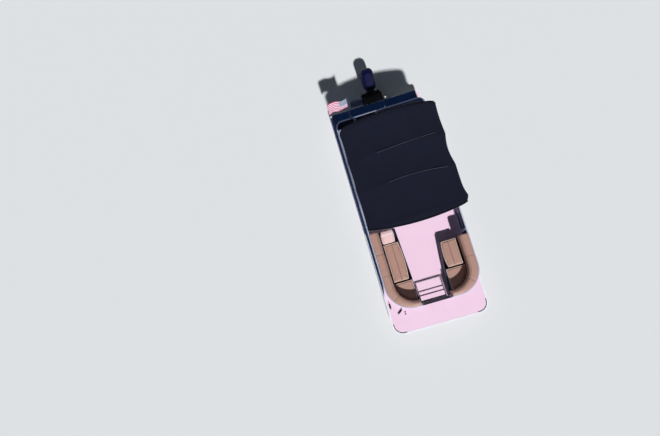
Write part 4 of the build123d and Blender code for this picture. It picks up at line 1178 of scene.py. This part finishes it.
@dataclass
class Backrests:
    """Long padded backrests: a face pad with a bolster over it, sewn in panels.

    The numbers of a section's points are those of the rounded profile: the crease under the bolster, the seam on
    top, and what the cross seams cover below and on the bolster.
    """

    foot: float = 330.5
    panel: float = 560
    bulge: float = 14
    softness: float = 0.0016
    rail_inset: float = 32.3
    rolled_inset: float = 21
    crease: int = 12
    top_seam: int = 24
    cross_seams: tuple[slice, slice] = (slice(2, 12), slice(20, 32))

    def rolled_profile(self, thick: float, rail: float) -> Flat:
        """Section of a backrest that lies over the rail and leaves its outer edge bare.

        Args:
            thick: depth from the face to the outer side.
            rail: depth from the face to the rail's inner side.

        Returns:
            Depth and height pairs in millimetres, round the section.
        """
        b, z = self.bulge, self.foot
        return [
            (8, z), (0, z + 12), (-0.6 * b, z + 70), (-b, z + 160), (-0.8 * b, z + 255), (-0.2 * b, z + 318),
            (7, z + 338), (-1, z + 352), (-b, z + 380), (-b, z + 412), (-7, z + 440), (9, z + 460), (34, z + 471),
            (thick * 0.5, z + 476), (thick - 34, z + 470), (thick - 11, z + 460), (thick, z + 449),
            (thick - 1, z + 438), (rail + 3, z + 437), (rail, z + 420), (rail, z + 12), (rail - 8, z),
        ]

    def plain_profile(self, thick: float, _rail: float) -> Flat:
        """Section of a backrest that stays inside the fence, as depth and height pairs."""
        b, z, t = self.bulge, self.foot, thick
        return [
            (8, z), (0, z + 12), (-0.6 * b, z + 70), (-b, z + 150), (-0.8 * b, z + 230), (-0.2 * b, z + 278),
            (7, z + 298), (-1, z + 312), (-b, z + 340), (-b, z + 374), (-6, z + 402), (10, z + 420), (36, z + 429),
            (t * 0.5, z + 433), (t - 34, z + 429), (t - 10, z + 420), (t - 1, z + 400), (t, z + 372),
            (t, z + 200), (t, z + 12), (t - 8, z),
        ]

    def make(self, node: str, line: list[Station], outer: Plan, rolled: bool, finish: Finish = TAN_VINYL) -> None:
        """Builds one backrest along a line of its face.

        Args:
            node: the CAD node that it replaces.
            line: x, y and outward direction of each point of its face.
            outer: plan of its outer side.
            rolled: whether it lies over the rail.
            finish: its vinyl.
        """
        rail = FENCE_PLAN.inset(self.rail_inset)
        run = [0.0]
        for a, b in zip(line, line[1:]):
            run.append(run[-1] + hypot(b[0] - a[0], b[1] - a[1]))
        whole = run[-1]
        count = max(1, round(whole / self.panel))
        seams = [whole * k / count for k in range(1, count)]
        rows = []
        for (x, y, nx, ny), s in zip(line, run):
            thick = outer.reach(x, y, nx, ny)
            profile = (self.rolled_profile if rolled else self.plain_profile)(thick, rail.reach(x, y, nx, ny))
            pinch = sum(exp(-((s - q) / 15) ** 2) for q in seams)
            soft = 0.045 * max(0.0, 1 - min(s, whole - s) / 34) ** 2
            fullness = 1 + 0.35 * sin(pi * ((s / whole * count) % 1))
            middle_a, middle_z = thick / 2, self.foot + 235
            row = []
            for a, z in self.rounded(profile):
                a = a * fullness if a < 0 else a
                shrink = (0.022 * pinch + soft) * (1 if a < thick * 0.8 or rolled and z > self.foot + 440 else 0.2)
                a, z = a + (middle_a - a) * shrink * 1.5, z + (middle_z - z) * shrink
                p = at(x + nx * a, y + ny * a, DECK_TOP + z)
                wave = noise.noise(p * 7) + 0.5 * noise.noise(p * 19)
                row.append(p + UP * wave * self.softness)
            rows.append(row)
        body = Workpiece().skin(rows).build(node + "_pad", finish, smooth=60)
        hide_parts(node)
        piping, thread = workpieces(2)
        fold = [row[self.crease] - self.outward(item) * 0.003 for row, item in zip(rows, line)]
        piping.tube(fold[1:-1], 0.005, False, 8)
        lift, radius = 0.0012, 0.0024
        thread.tube([row[self.top_seam] + UP * lift for row in rows][1:-1], radius, False, 6)
        for q in seams:
            k = min(range(len(run)), key=lambda n: abs(run[n] - q))
            for part, away in zip(self.cross_seams, (-self.outward(line[k]), UP)):
                thread.tube([p + away * lift for p in rows[k][part]], radius, False, 6)
        piping.build(node + "_piping", PIPING)
        thread.build(node + "_thread", THREAD)

    @staticmethod
    def outward(item: Station) -> Vector:
        """Direction from the seats to the fence at a point of the line."""
        return Vector((item[2], item[3], 0))

    @staticmethod
    def rounded(profile: Flat) -> Flat:
        """The profile with a smooth point between each two."""
        count, out = len(profile), []
        for k in range(count):
            a, b, c, d = (profile[(k + j) % count] for j in (-1, 0, 1, 2))
            out.append(b)
            out.append(tuple((9 * (b[j] + c[j]) - a[j] - d[j]) / 16 for j in (0, 1)))
        return out

    def build(self) -> None:
        """Builds the three backrests."""
        face, rolled = BACK_PLAN, FENCE_PLAN.inset(self.rolled_inset)
        self.make("backrest_starboard", face.corner(True, -1, 3592, 436, 15), rolled, True)
        self.make("backrest_port", face.corner(True, 1, 4252, 376, 15), rolled, True)
        plain = FENCE_PLAN.inset(self.rail_inset)
        # The aft backrest gets navy vinyl as painted shade.
        self.make("backrest_aft", face.corner(False, 1, 2698, -18, 15), plain, False, NAVY_SHADE_VINYL)


@dataclass
class SeatBases:
    """Doors, kick strips and vents on the hollow seat bases, whose inboard faces are slanted at the bow."""

    faces: tuple[tuple[float, ...], ...] = (
        # aft x and y, fore x and y, first door, last door, doors
        (3580, -500, 5628, -407, 3650, 4920, 2),
        (4250, 500, 5628, 347, 4310, 4920, 1),
        (1130, 520, 2700, 520, 1180, 2640, 2),
    )
    door_low: float = 0.87
    door_high: float = 1.09
    kick_low: float = 0.804
    kick_high: float = 0.844
    slats: int = 5

    def build(self) -> None:
        """Adds the pieces."""
        doors, strips, pulls = workpieces(3)
        half = (self.door_high - self.door_low) / 2
        ring = [(0.021, 0.0025), (0.021, 0.004), (0.017, 0.005), (0.014, 0.003), (0.005, 0.0032)]
        for aft_x, aft_y, fore_x, fore_y, first, last, count in self.faces:
            start, end = at(aft_x, aft_y, 0), at(fore_x, fore_y, 0)
            along = (end - start).normalized()
            aisle = Vector((along.y, -along.x, 0)) * copysign(1, aft_y)
            wide = (last - first) / count / 1000 - 0.04
            for k in range(count):
                share = (first + (k + 0.5) * (last - first) / count - aft_x) / (fore_x - aft_x)
                middle = start.lerp(end, share)
                where = place(middle + UP * (self.door_low + half), aisle, along)
                doors.box((-wide / 2, -half, -0.002), (wide / 2, half, 0.0025), 0.0015, where)
                pulls.turned(ring, place(middle + UP * (self.door_high - 0.03), aisle, along), 24)
                for n in range(self.slats):
                    where = place(middle + UP * (self.door_low + 0.03 + 0.012 * n), aisle, along)
                    strips.box((-0.06, -0.0025, 0), (0.06, 0.0025, 0.0045), 0.001, where)
            where = place((start + end) / 2 + UP * (self.kick_low + self.kick_high) / 2, aisle, along)
            reach, rise = (end - start).length / 2 - 0.03, (self.kick_high - self.kick_low) / 2
            strips.box((-reach, -rise, -0.001), (reach, rise, 0.003), 0.0012, where)
        doors.build("locker_doors", BASE)
        strips.build("kick_strips", RUBBER, slot="base_plastic")
        pulls.build("locker_pulls", STEEL, slot="base_plastic")


@dataclass
class Helm:
    """Dash, dials, switches and trim of the console, the wheel and the screen."""

    dash: Vector = field(default_factory=lambda: at(2425, -790, 1560))
    slope: Vector = field(default_factory=lambda: Vector((-0.784, 0, 0.62)))
    dials: tuple[tuple[float, float, float], ...] = (
        # across, up, radius
        (-0.15, 0.07, 0.042), (-0.05, 0.075, 0.05), (0.07, 0.075, 0.05), (0.17, 0.07, 0.042),
    )
    marks: int = 11
    switches: int = 6

    def build(self) -> None:
        """Dresses the helm."""
        finish_nodes(GEL_COAT, "console")
        finish_nodes(SCREEN, "windscreen")
        finish_nodes(BLACK, "steering_shaft", "steering_wheel", "throttle")
        where = place(self.dash, self.slope, PORT)
        panel, bezels, faces, hands = workpieces(4)
        panel.box((-0.26, -0.13, 0.0005), (0.26, 0.13, 0.005), 0.003, where)
        for number, (x, y, radius) in enumerate(self.dials):
            spot = where @ Matrix.Translation((x, y, 0.005))
            inner = radius * 0.86
            bezel = [(radius, 0), (radius, 0.006), (radius * 0.94, 0.009), (inner, 0.006), (inner, 0.002)]
            bezels.turned(bezel, spot, 32)
            faces.turned([(inner, 0.002), (inner, 0.0032), (0.001, 0.0032)], spot, 32)
            for k in range(self.marks):
                turn = Matrix.Rotation(radians(-120 + 24 * k), 4, "Z")
                hands.box((-0.0012, radius * 0.62, 0.003), (0.0012, radius * 0.78, 0.0038), 0.0002, spot @ turn)
            turn = Matrix.Rotation(radians(-70 + 31 * number), 4, "Z")
            hands.box((-0.0014, -0.008, 0.0036), (0.0014, radius * 0.66, 0.0048), 0.0004, spot @ turn)
        for k in range(self.switches):
            x = -0.2 + 0.034 * k + (0.18 if k >= self.switches / 2 else 0)
            hands.box((x, -0.08, 0.004), (x + 0.022, -0.045, 0.011), 0.003, where)
        panel.build("dash_panel", BLACK)
        bezels.build("dial_bezels", STEEL)
        faces.build("dial_faces", DIAL)
        hands.build("dial_hands", BLACK)
        self.trim()
        self.wheel_cap()

    @staticmethod
    def trim() -> None:
        """Adds doors, the grab rail, a cup ring and the screen's edge."""
        door, rail, edge = workpieces(3)
        door.box(at(2470, -501.5, 860), at(2760, -498, 1380), 0.0015)
        front = place(at(2878, -790, 1120), Vector((880, 0, 60)), PORT)
        door.box((-0.21, -0.24, -0.001), (0.21, 0.24, 0.0025), 0.001, front)
        ends = (-1040, -540)
        for y in ends:
            rail.turned([(0.016, 0), (0.016, 0.006), (0.009, 0.01)], place(at(2560, y, 1680.5)), 16)
        line = [at(2560, y, z) for y, z in zip((ends[0], *ends, ends[1]), (1682, 1730, 1730, 1682))]
        rail.tube(eased(spaced(line, 0.012), 8), 0.0105, False, 12)
        holder = [(0.052, 0), (0.052, 0.004), (0.046, 0.006), (0.042, 0.003), (0.038, 0.001)]
        rail.turned(holder, place(at(2700, -570, 1680.5)), 28)
        for loop in face_loops("windscreen", UP)[:1]:
            edge.tube(eased(spaced(loop, 0.02, True), 2, True), 0.0055, True, 8)
        door.build("console_doors", GEL_COAT)
        rail.build("helm_grab_rail", STEEL)
        edge.build("screen_edge", RUBBER)

    @staticmethod
    def wheel_cap() -> None:
        """Adds the bright cap and spoke plates of the steering wheel."""
        lean = radians(38)
        axis = Vector((-cos(lean), 0, sin(lean)))
        where = place(at(2275, -790, 1490), axis, PORT)
        cap = Workpiece()
        cap.turned([(0.034, 0.018), (0.033, 0.024), (0.024, 0.03), (0.008, 0.033)], where, 28)
        for turn in (-90, 30, 150):
            spoke = where @ Matrix.Rotation(radians(turn), 4, "Z")
            cap.box((0.05, -0.008, 0), (0.15, 0.008, 0.002), 0.0008, spoke)
        cap.build("wheel_cap", STEEL, "helm wheel")


@dataclass
class HelmChair:
    """Turning chair's arm pads, lever and bolts; its cushions are made with the other seats."""

    x: float = 1740
    y: float = -760

    def spot(self, x: float, y: float, z: float) -> Vector:
        """Point from millimetres about the chair's pillar."""
        return at(self.x + x, self.y + y, z)

    def build(self) -> None:
        """Dresses the chair."""
        finish_nodes(STEEL, "chair_pedestal")
        finish_nodes(BASE, "chair_frame")
        arms, lever, bolts = workpieces(3)
        for side in SIDES:
            arms.box(self.spot(-215, side * 265 - 24, 1468), self.spot(132, side * 265 + 24, 1500), 0.011)
        lever.tube(spaced([self.spot(60, -150, 1222), self.spot(90, -270, 1212)], 0.02), 0.005, False, 8)
        lever.turned([(0.006, -0.012), (0.012, -0.006), (0.012, 0.006), (0.006, 0.012)],
                     place(self.spot(92, -278, 1211), Vector((0.2, -1, 0))), 12)
        bolts.screws([place(self.spot(x, y, DECK_TOP + 12)) for x, y in circle(105, 6)], 0.009)
        arms.build("arm_pads", TAN_VINYL, "helm chair", smooth=60)
        lever.build("chair_lever", BLACK, "helm chair")
        bolts.build("pedestal_bolts", STEEL)


@dataclass
class ClothTop:
    """Arched cloth on four bows, with its hems, tapes, seams and fittings; pale threads and dark tapes paint
    highlight and shade along the seams.

    Sizes are in millimetres; pull, flare and the seams' bends shape the hems and seams as the photo shows them.
    """

    half: float = 1205
    corner: float = 120
    low: float = 2740
    crown: float = 2990
    foot: float = 2670
    aft: float = 1080
    fore: float = 3620
    aft_bulge: float = 74
    fore_bulge: float = 130
    bows: tuple[float, ...] = (1110, 1900, 2670, 3580)
    sag: float = 24
    pull: tuple[tuple[float, float], ...] = ((0.012, 0.014), (0.012, 0.045), (0.012, 0.0))
    flare: float = 0.046
    flare_start: float = 3130
    flare_tip: float = 3455
    flare_end: float = 3572
    seams: tuple[tuple[float, ...], ...] = ((1929, -495, 1845, 978, 0), (2686, -444, 2712, 1002, 42))
    aft_round: tuple[float, float] = (120, 56)
    stations: int = 125
    tape: float = 27

    def section(self, inset: float, step: float) -> Flat:
        """Arch across the boat from the starboard hem to the port hem.

        Args:
            inset: how far it lies inside the cloth's outer size.
            step: distance between its points, in millimetres.

        Returns:
            Its evenly spaced points as y and z.
        """
        half, corner, crown = self.half - inset, self.corner - inset, self.crown - inset
        across, up = half - corner, crown - self.low
        radius = (across**2 + up**2 - corner**2) / (2 * (up - corner))
        lean = atan2(across, self.low - crown + radius)
        port = [Vector((half, self.foot, 0)), Vector((half, self.low, 0))]
        for k in range(1, 13):
            a = (pi / 2 - lean) * k / 12
            port.append(Vector((across + corner * cos(a), self.low + corner * sin(a), 0)))
        for k in range(1, 31):
            a = lean * (1 - k / 30)
            port.append(Vector((radius * sin(a), crown - radius + radius * cos(a), 0)))
        line = [Vector((-p.x, p.y, 0)) for p in port] + port[-2::-1]
        return [(p.x, p.y) for p in spaced(line, step)]

    def shape(self, x: float, y: float, z: float) -> Vector:
        """A point of the plain arch, sagged between bows and drawn over them.

        Args:
            x: place along the boat.
            y: place across it.
            z: height of the plain arch.

        Returns:
            The cloth's point in the row frame.
        """
        edge = min(1.0, abs(y) / self.half)
        before = max((b for b in self.bows if b <= x), default=None)
        after = min((b for b in self.bows if b > x), default=None)
        if before is None or after is None:
            hang = abs(x - (after or before))
            drop, inward = 0.0006 * hang**1.9, 0.0
        else:
            wave = sin(pi * (x - before) / (after - before))
            inward = self.pull[self.bows.index(before)][y > 0] * wave * edge**5
            drop = self.sag * wave * (1 - 0.5 * edge**2)
        if y > 0:
            rise = max(0.0, (x - self.flare_start) / (self.flare_tip - self.flare_start))
            fall = max(0.0, (x - self.flare_tip) / (self.flare_end - self.flare_tip))
            inward -= self.flare * min(1.0, rise) ** 2 * max(0.0, 1 - fall**1.5) * edge**8
        near = min(abs(x - b) for b in self.bows)
        seen = 0.4 + 0.6 * max(0.0, min(1.0, (y + 560) / 160))
        ridge = 7 * exp(-((near / 18) ** 2)) * seen * (1 - edge**6)
        spot = Vector((x / 310, y / 620, 0.7))
        fold = 3.2 * noise.noise(spot) + 1.6 * noise.noise(Vector((x / 520, y / 85, 3.1))) * (0.3 + edge)
        pleat = 2.4 * sin(y / 34) * exp(-(((y - 640) / 210) ** 2))
        pleat *= max(0.0, min(1.0, (x - 2760) / 200)) * max(0.0, min(1.0, (3560 - x) / 300))
        height = z - drop + ridge + (fold + pleat) * (1 - exp(-((near / 60) ** 2)))
        return at(x, y * (1 - inward), height)

    def build(self) -> None:
        """Builds the cloth top."""
        finish_nodes(RAIL, "top_bows", "top_mounts", "top_braces")
        section, last = self.section(2.5, 22), self.stations - 1
        rows = [[self.hemmed(number / last, y, z) for y, z in section] for number in range(last + 1)]
        cloth = Workpiece().skin(rows, False, False, False).build("top_cloth", TOP_CLOTH, smooth=60)
        thicken(cloth, 0.002)
        hems, tapes_and_shadows, bright, threads = workpieces(4)
        ring = rows[-1] + [row[-1] for row in rows[-2:0:-1]] + rows[0][::-1] + [row[0] for row in rows[1:-1]]
        hems.tube(ring, 0.0055, True, 8)
        bright.tube([p + Vector((0.004, 0, -0.011)) for p in rows[-1][4:-4]], 0.0058, False, 8)
        for bow, offset in product(self.bows, (-self.tape, self.tape)):
            line = [self.shape(bow + offset, y, z) + UP * 0.0014 for y, z in section[6:-6]]
            tapes_and_shadows.run(line, self.ribbon(0.004, 0.75, 0.0009), False, UP)
        # Painted highlight and shadow: each seam gets a pale thread for its lit fore side and a dark tape 15 mm aft
        # for its shaded side.
        for x0, y0, x1, y1, bend in self.seams:
            for work, back, half, lift in ((threads, 0, 0.004, 0.0018), (tapes_and_shadows, 15, 0.011, 0.0015)):
                line = []
                for y, z in section:
                    share = (y - y0) / (y1 - y0)
                    if 0 <= share <= 1:
                        x = x0 + (x1 - x0) * share - 4 * bend * share * (1 - share) - back
                        line.append(self.shape(x, y, z) + UP * lift)
                work.run(line, self.ribbon(half, 0.7), False, UP)
        for row in (rows[-2], rows[1]):
            tapes_and_shadows.run([p + UP * 0.0016 for p in row[4:-4]], self.ribbon(0.013, 9 / 13), False, UP)
        # The tapes include the painted seam shadows, and the threads are painted seam highlights.
        binding = hems.build("top_binding", TOP_TAPE_AND_SEAM_SHADOW)
        tape = tapes_and_shadows.build("top_tapes_and_seam_shadows", TOP_TAPE_AND_SEAM_SHADOW)
        pale = bright.build("top_front_cord", TOP_THREAD_AND_HIGHLIGHT)
        sewn = threads.build("top_thread_highlights", TOP_THREAD_AND_HIGHLIGHT)
        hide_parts("canopy")
        self.fittings()

    def hemmed(self, share: float, y: float, z: float) -> Vector:
        """A point of the cloth, whose aft and fore hems are bowed and rounded at their ends.

        Args:
            share: place from the aft hem to the fore one, from 0 to 1.
            y: place across the boat.
            z: height of the plain arch.

        Returns:
            The cloth's point in the row frame.
        """
        span = 1 - (y / self.half) ** 2
        rounding = max(0.0, (abs(y) / self.half - 0.86) / 0.14) ** 2
        x0 = self.aft - self.aft_bulge * span + self.aft_round[y > 0] * rounding
        x1 = self.fore + self.fore_bulge * span - 24 * rounding
        return self.shape(x0 + (x1 - x0) * share, y, z)

    @staticmethod
    def ribbon(half: float, top: float, thick: float = 0.001) -> Flat:
        """Profile of a flat tape by its half width, the share of it that the top has, and its thickness."""
        return [(-half, 0), (half, 0), (top * half, thick), (-top * half, thick)]

    @staticmethod
    def fittings() -> None:
        """Adds bolts through the pivots of the bows."""
        bolts = Workpiece()
        head = [(0.016, 0), (0.016, 0.004), (0.01, 0.005), (0.01, 0.01), (0.004, 0.011)]
        for side, x in product(SIDES, (2350, 2420)):
            bolts.turned(head, place(at(x, side * 1201.5, 1640), PORT * side), 16)
        bolts.build("top_pivot_bolts", STEEL)


# The tilt tube's place and how far the parked engine leans back about it
TILT_TUBE_X, TILT_TUBE_Z = -385, 740
PARKED_TILT = radians(25)


def raised(x: float, y: float, z: float) -> Vector:
    """Point of the parked engine, from millimetres about its tilt tube with the engine straight down."""
    c, s = cos(PARKED_TILT), sin(PARKED_TILT)
    return at(TILT_TUBE_X + x * c + z * s, y, TILT_TUBE_Z - x * s + z * c)


def turned_way(x: float, y: float, z: float) -> Vector:
    """Direction in the parked engine's own frame."""
    return (raised(x, y, z) - raised(0, 0, 0)).normalized()


@dataclass
class Outboard:
    """Cowl stripes, gasket, vents and the small parts of the outboard."""

    slots: int = 6
    inlets: int = 4
    clamp_bolts: tuple[float, ...] = (-70, -240, -300)

    def build(self) -> None:
        """Dresses the outboard."""
        finish_nodes(COWL, "engine_cowl")
        finish_nodes(ENGINE, "engine_pan", "engine_leg", "powerhead", "propeller", "swivel_bracket", "clamp_bracket")
        surface = Surface(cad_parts["engine_cowl"])
        stripes, gasket, dark = workpieces(3)
        for side, (z0, z1, wide) in product(SIDES, ((250, 300, 0.011), (222, 262, 0.004))):
            shares = [k / 39 for k in range(40)]
            line = [raised(-560 + 470 * share, side * 240, z0 + (z1 - z0) * share**1.6) for share in shares]
            laid = surface.drop(line, turned_way(0, -side, 0), 0.0006)
            stripes.run(laid, [(-wide, 0), (wide, 0), (wide, 0.0012), (-wide, 0.0012)], False, turned_way(0, side, 0))
        ring = [
            raised(-337 + copysign(abs(c) ** 0.62, c) * 294, copysign(abs(s) ** 0.62, s) * 166, 151)
            for c, s in circle(1, 64)
        ]
        gasket.tube(ring, 0.006, True, 8)
        back = turned_way(-1, 0, 0)
        for k in range(self.slots):
            spot = raised(-632 + 2.2 * abs(k - (self.slots - 1) / 2), 0, 330 + 22 * k)
            dark.box((-0.07, -0.005, -0.004), (0.07, 0.005, 0.004), 0.002, place(spot, back, PORT))
        dark.box((-0.03, -0.016, -0.004), (0.03, 0.016, 0.012), 0.005, place(raised(-634, 0, 186), back, PORT))
        stripes.build("cowl_stripes", COWL_STRIPE, "engine")
        gasket.build("cowl_gasket", RUBBER, "engine")
        dark.build("cowl_vents", BLACK, "engine")
        self.small_parts()

    def small_parts(self) -> None:
        """Adds the anode, water inlets, mount covers, clamp bolts and the propeller's nut."""
        zinc, steel, rubber, cap = workpieces(4)
        up, ahead = turned_way(0, 0, 1), turned_way(1, 0, 0)
        zinc.box((-0.045, -0.006, -0.05), (0.03, 0.006, 0), 0.003, place(raised(-460, 0, -533), up, ahead))
        cover = [(0.036, 0), (0.036, 0.01), (0.03, 0.014), (0.012, 0.015)]
        bolt = [(0.013, 0), (0.013, 0.003), (0.009, 0.003), (0.009, 0.011), (0.006, 0.012)]
        for side in SIDES:
            out = turned_way(0, side, 0)
            for k in range(self.inlets):
                where = place(raised(-290, side * 32.5, -612 - 11 * k), out, ahead)
                rubber.box((-0.03, -0.003, 0), (0.03, 0.003, 0.003), 0.001, where)
            rubber.turned(cover, place(raised(-245, side * 62, 44), out), 24)
            for z in self.clamp_bolts:
                steel.turned(bolt, place(at(-366, side * 118.5, TILT_TUBE_Z + z), PORT * side), 6)
            nut = place(at(TILT_TUBE_X, side * 130.2, TILT_TUBE_Z), PORT * side)
            steel.turned([(0.02, 0), (0.02, 0.006), (0.012, 0.014)], nut, 6)
        cap.turned([(0.012, 0), (0.012, 0.006), (0.007, 0.008)], place(raised(-594, 0, -705), -ahead), 6)
        zinc.build("trim_anode", ZINC, "engine")
        rubber.build("mount_covers", RUBBER, "engine")
        steel.build("clamp_bolts", STEEL)
        cap.build("shaft_nut", STEEL, "engine")


@dataclass
class DeckGear:
    """Ladder treads, cleat bases, the stern light's rings and lens, and the flag."""

    flag_length: float = 515
    flag_height: float = 350
    flag_columns: int = 60
    flag_rows: int = 30
    staff_length: float = 760
    staff_foot: tuple[float, float, float] = (486, -770, 1565)
    staff_rake: float = radians(25)
    lamp: tuple[float, float] = (450, 170)

    def build(self) -> None:
        """Builds the gear."""
        # The ladder, its mount and the flag staff take the shaded ladder metal.
        finish_nodes(LADDER_METAL_AND_SHADE, "ladder", "ladder_mount", "flag_staff")
        finish_nodes(ENGINE, "cleats", "stern_light")
        treads, plates, rings, lens = workpieces(4)
        for number in range(4):
            z = DECK_TOP + 100.4 + 110 * number
            treads.box(at(-88, -640, z), at(-38, -342, z + 3), 0.001)
        for x, y, turn in ((5504, -1203, 0), (5712, -987, -53), (168, -1165, 0), (168, 1165, 0)):
            where = Matrix.Translation(at(x, y, DECK_TOP + 0.4)) @ Matrix.Rotation(radians(turn), 4, "Z")
            plates.box((-0.062, -0.026, 0), (0.062, 0.026, 0.004), 0.0018, where)
        for x, y in ((5756, -861), (5810, -864)):
            where = place(at(x, y, DECK_TOP + 0.4))
            plates.turned([(0.02, 0), (0.02, 0.003), (0.014, 0.006), (0.004, 0.007)], where, 20)
        for z in (2221, 2262):
            rings.turned([(0.0275, 0), (0.0275, 0.004)], place(at(*self.lamp, z)), 24)
        lens.turned([(0.0265, 0), (0.0268, 0.055), (0.02, 0.0625), (0.006, 0.066)], place(at(*self.lamp, 2224)), 28)
        lens.turned([(0.026, 0), (0.026, 0.004), (0.016, 0.022), (0.0105, 0.06)], place(at(*self.lamp, 1565.5)), 24)
        treads.build("ladder_treads", TREAD_AND_SHADE, "ladder")
        plates.build("cleat_plates", ENGINE)
        rings.build("lamp_rings", BLACK, slot="lamp")
        lens.build("lamp_lens", LAMP)
        self.flag()

    def flag(self) -> None:
        """Flies the flag to starboard from its raked staff."""
        low = self.staff_length - self.flag_height - 25
        foot_x, foot_y, foot_z = self.staff_foot
        rows = []
        for v in (j / self.flag_rows for j in range(self.flag_rows + 1)):
            row = []
            for u in (k / self.flag_columns for k in range(self.flag_columns + 1)):
                along = low + v * self.flag_height - 46 * u**2 * (1 - 0.4 * v)
                wave = 30 * sin(tau * u * 0.96 + 0.6 * v) * min(1.0, 3 * u)
                ripple = 7 * sin(tau * (2.3 * u + 0.7 * v)) * u
                x = foot_x - along * sin(self.staff_rake) + wave + ripple
                y = foot_y - 10 - (self.flag_length - 2) * u
                row.append(at(x, y, foot_z + along * cos(self.staff_rake)))
            rows.append(row)
        cloth = Workpiece().skin(rows, False, False, False).build("flag_cloth", FlagCloth(), smooth=80)
        layer = cloth.data.uv_layers.new(name="cloth")
        for loop in cloth.data.loops:
            j, k = divmod(loop.vertex_index, self.flag_columns + 1)
            layer.data[loop.index].uv = (k / self.flag_columns, j / self.flag_rows)
        thicken(cloth, 0.0012)
        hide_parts("flag")


@dataclass
class Studio:
    """Floor at the waterline, lamps, pale surroundings and the camera."""

    lens: float = 28.23
    spot: tuple[float, float, float] = (2.2956, -1.356, 14.842)
    right: tuple[float, float, float] = (0.27535, 0.95713, -0.08993)
    down: tuple[float, float, float] = (0.95035, -0.28511, -0.12469)
    ahead: tuple[float, float, float] = (-0.14499, -0.05113, -0.98810)
    key: float = 3.46
    fill: float = 0.05
    ambient: float = 0.055
    shade: tuple[float, float, float] = (0.62, 0.77, 1.0)
    shown: float = 0.86
    floor_half: float = 60

    def build(self) -> None:
        """Builds the studio."""
        scene = bpy.context.scene
        scene.view_settings.view_transform = "Standard"
        camera = new_object("camera", bpy.data.cameras.new("camera"))
        camera.data.lens, camera.data.clip_end = self.lens, 200
        columns = (Vector(self.right), -Vector(self.down), -Vector(self.ahead), Vector(self.spot))
        camera.matrix_world = Matrix([(*(c[k] for c in columns),) for k in range(3)] + [(0, 0, 0, 1)])
        scene.camera = camera
        self.floor()
        self.lamps()
        self.surroundings()

    def floor(self) -> None:
        """Lays a plain pale floor at the waterline."""
        mesh = bpy.data.meshes.new("floor")
        half = self.floor_half
        corners = [(x, y, WATERLINE) for x, y in ((-half, -half), (half, -half), (half, half), (-half, half))]
        mesh.from_pydata(corners, [], [(0, 1, 2, 3)])
        material = bpy.data.materials.new("pale floor")
        graph = Graph(material)
        shader = graph.add("BsdfPrincipled", Base_Color=linear("e6e8e9"), Roughness=0.9)
        graph.add("OutputMaterial", Surface=shader.outputs[0])
        mesh.materials.append(material)
        floor = new_object("floor", mesh)

    def lamps(self) -> None:
        """Sets a key lamp over the bow and a broad fill from the starboard side."""
        for name, power, colour, angle, elevation, turn in (
            ("key", self.key, (1, 1, 1), 2, 52, 2), ("fill", self.fill, self.shade, 60, 55, -115),
        ):
            data = bpy.data.lights.new(name, "SUN")
            data.energy, data.angle, data.color = power, radians(angle), colour
            lamp = new_object(name, data)
            e, t = radians(elevation), radians(turn)
            towards = Vector((cos(e) * cos(t), cos(e) * sin(t), sin(e)))
            lamp.rotation_mode = "QUATERNION"
            lamp.rotation_quaternion = towards.to_track_quat("Z", "Y")

    def surroundings(self) -> None:
        """Sets pale surroundings that light the boat less than they show."""
        world = bpy.data.worlds.new("surroundings")
        bpy.context.scene.world = world
        graph = Graph(world)
        path = graph.add("LightPath").outputs
        mirrored = graph.maths("MAXIMUM", path["Is Glossy Ray"], path["Is Transmission Ray"])
        seen = graph.maths("MAXIMUM", path["Is Camera Ray"], mirrored)
        strength = graph.add("MapRange", Value=seen, To_Min=self.ambient, To_Max=self.shown).outputs[0]
        tint = graph.mix(seen, (*self.shade, 1), linear("f4f6f8"))
        lit = graph.add("Background", Color=tint, Strength=strength)
        graph.add("OutputWorld", Surface=lit.outputs[0])


def main() -> None:
    """Builds the scene."""
    for maker in (
        Studio, Hull, DeckFloor, Fence, Lounges, Backrests, SeatBases, Helm, HelmChair, ClothTop, Outboard, DeckGear,
    ):
        maker().build()


if __name__ == "__main__":
    logging.basicConfig(level=logging.INFO)
    main()
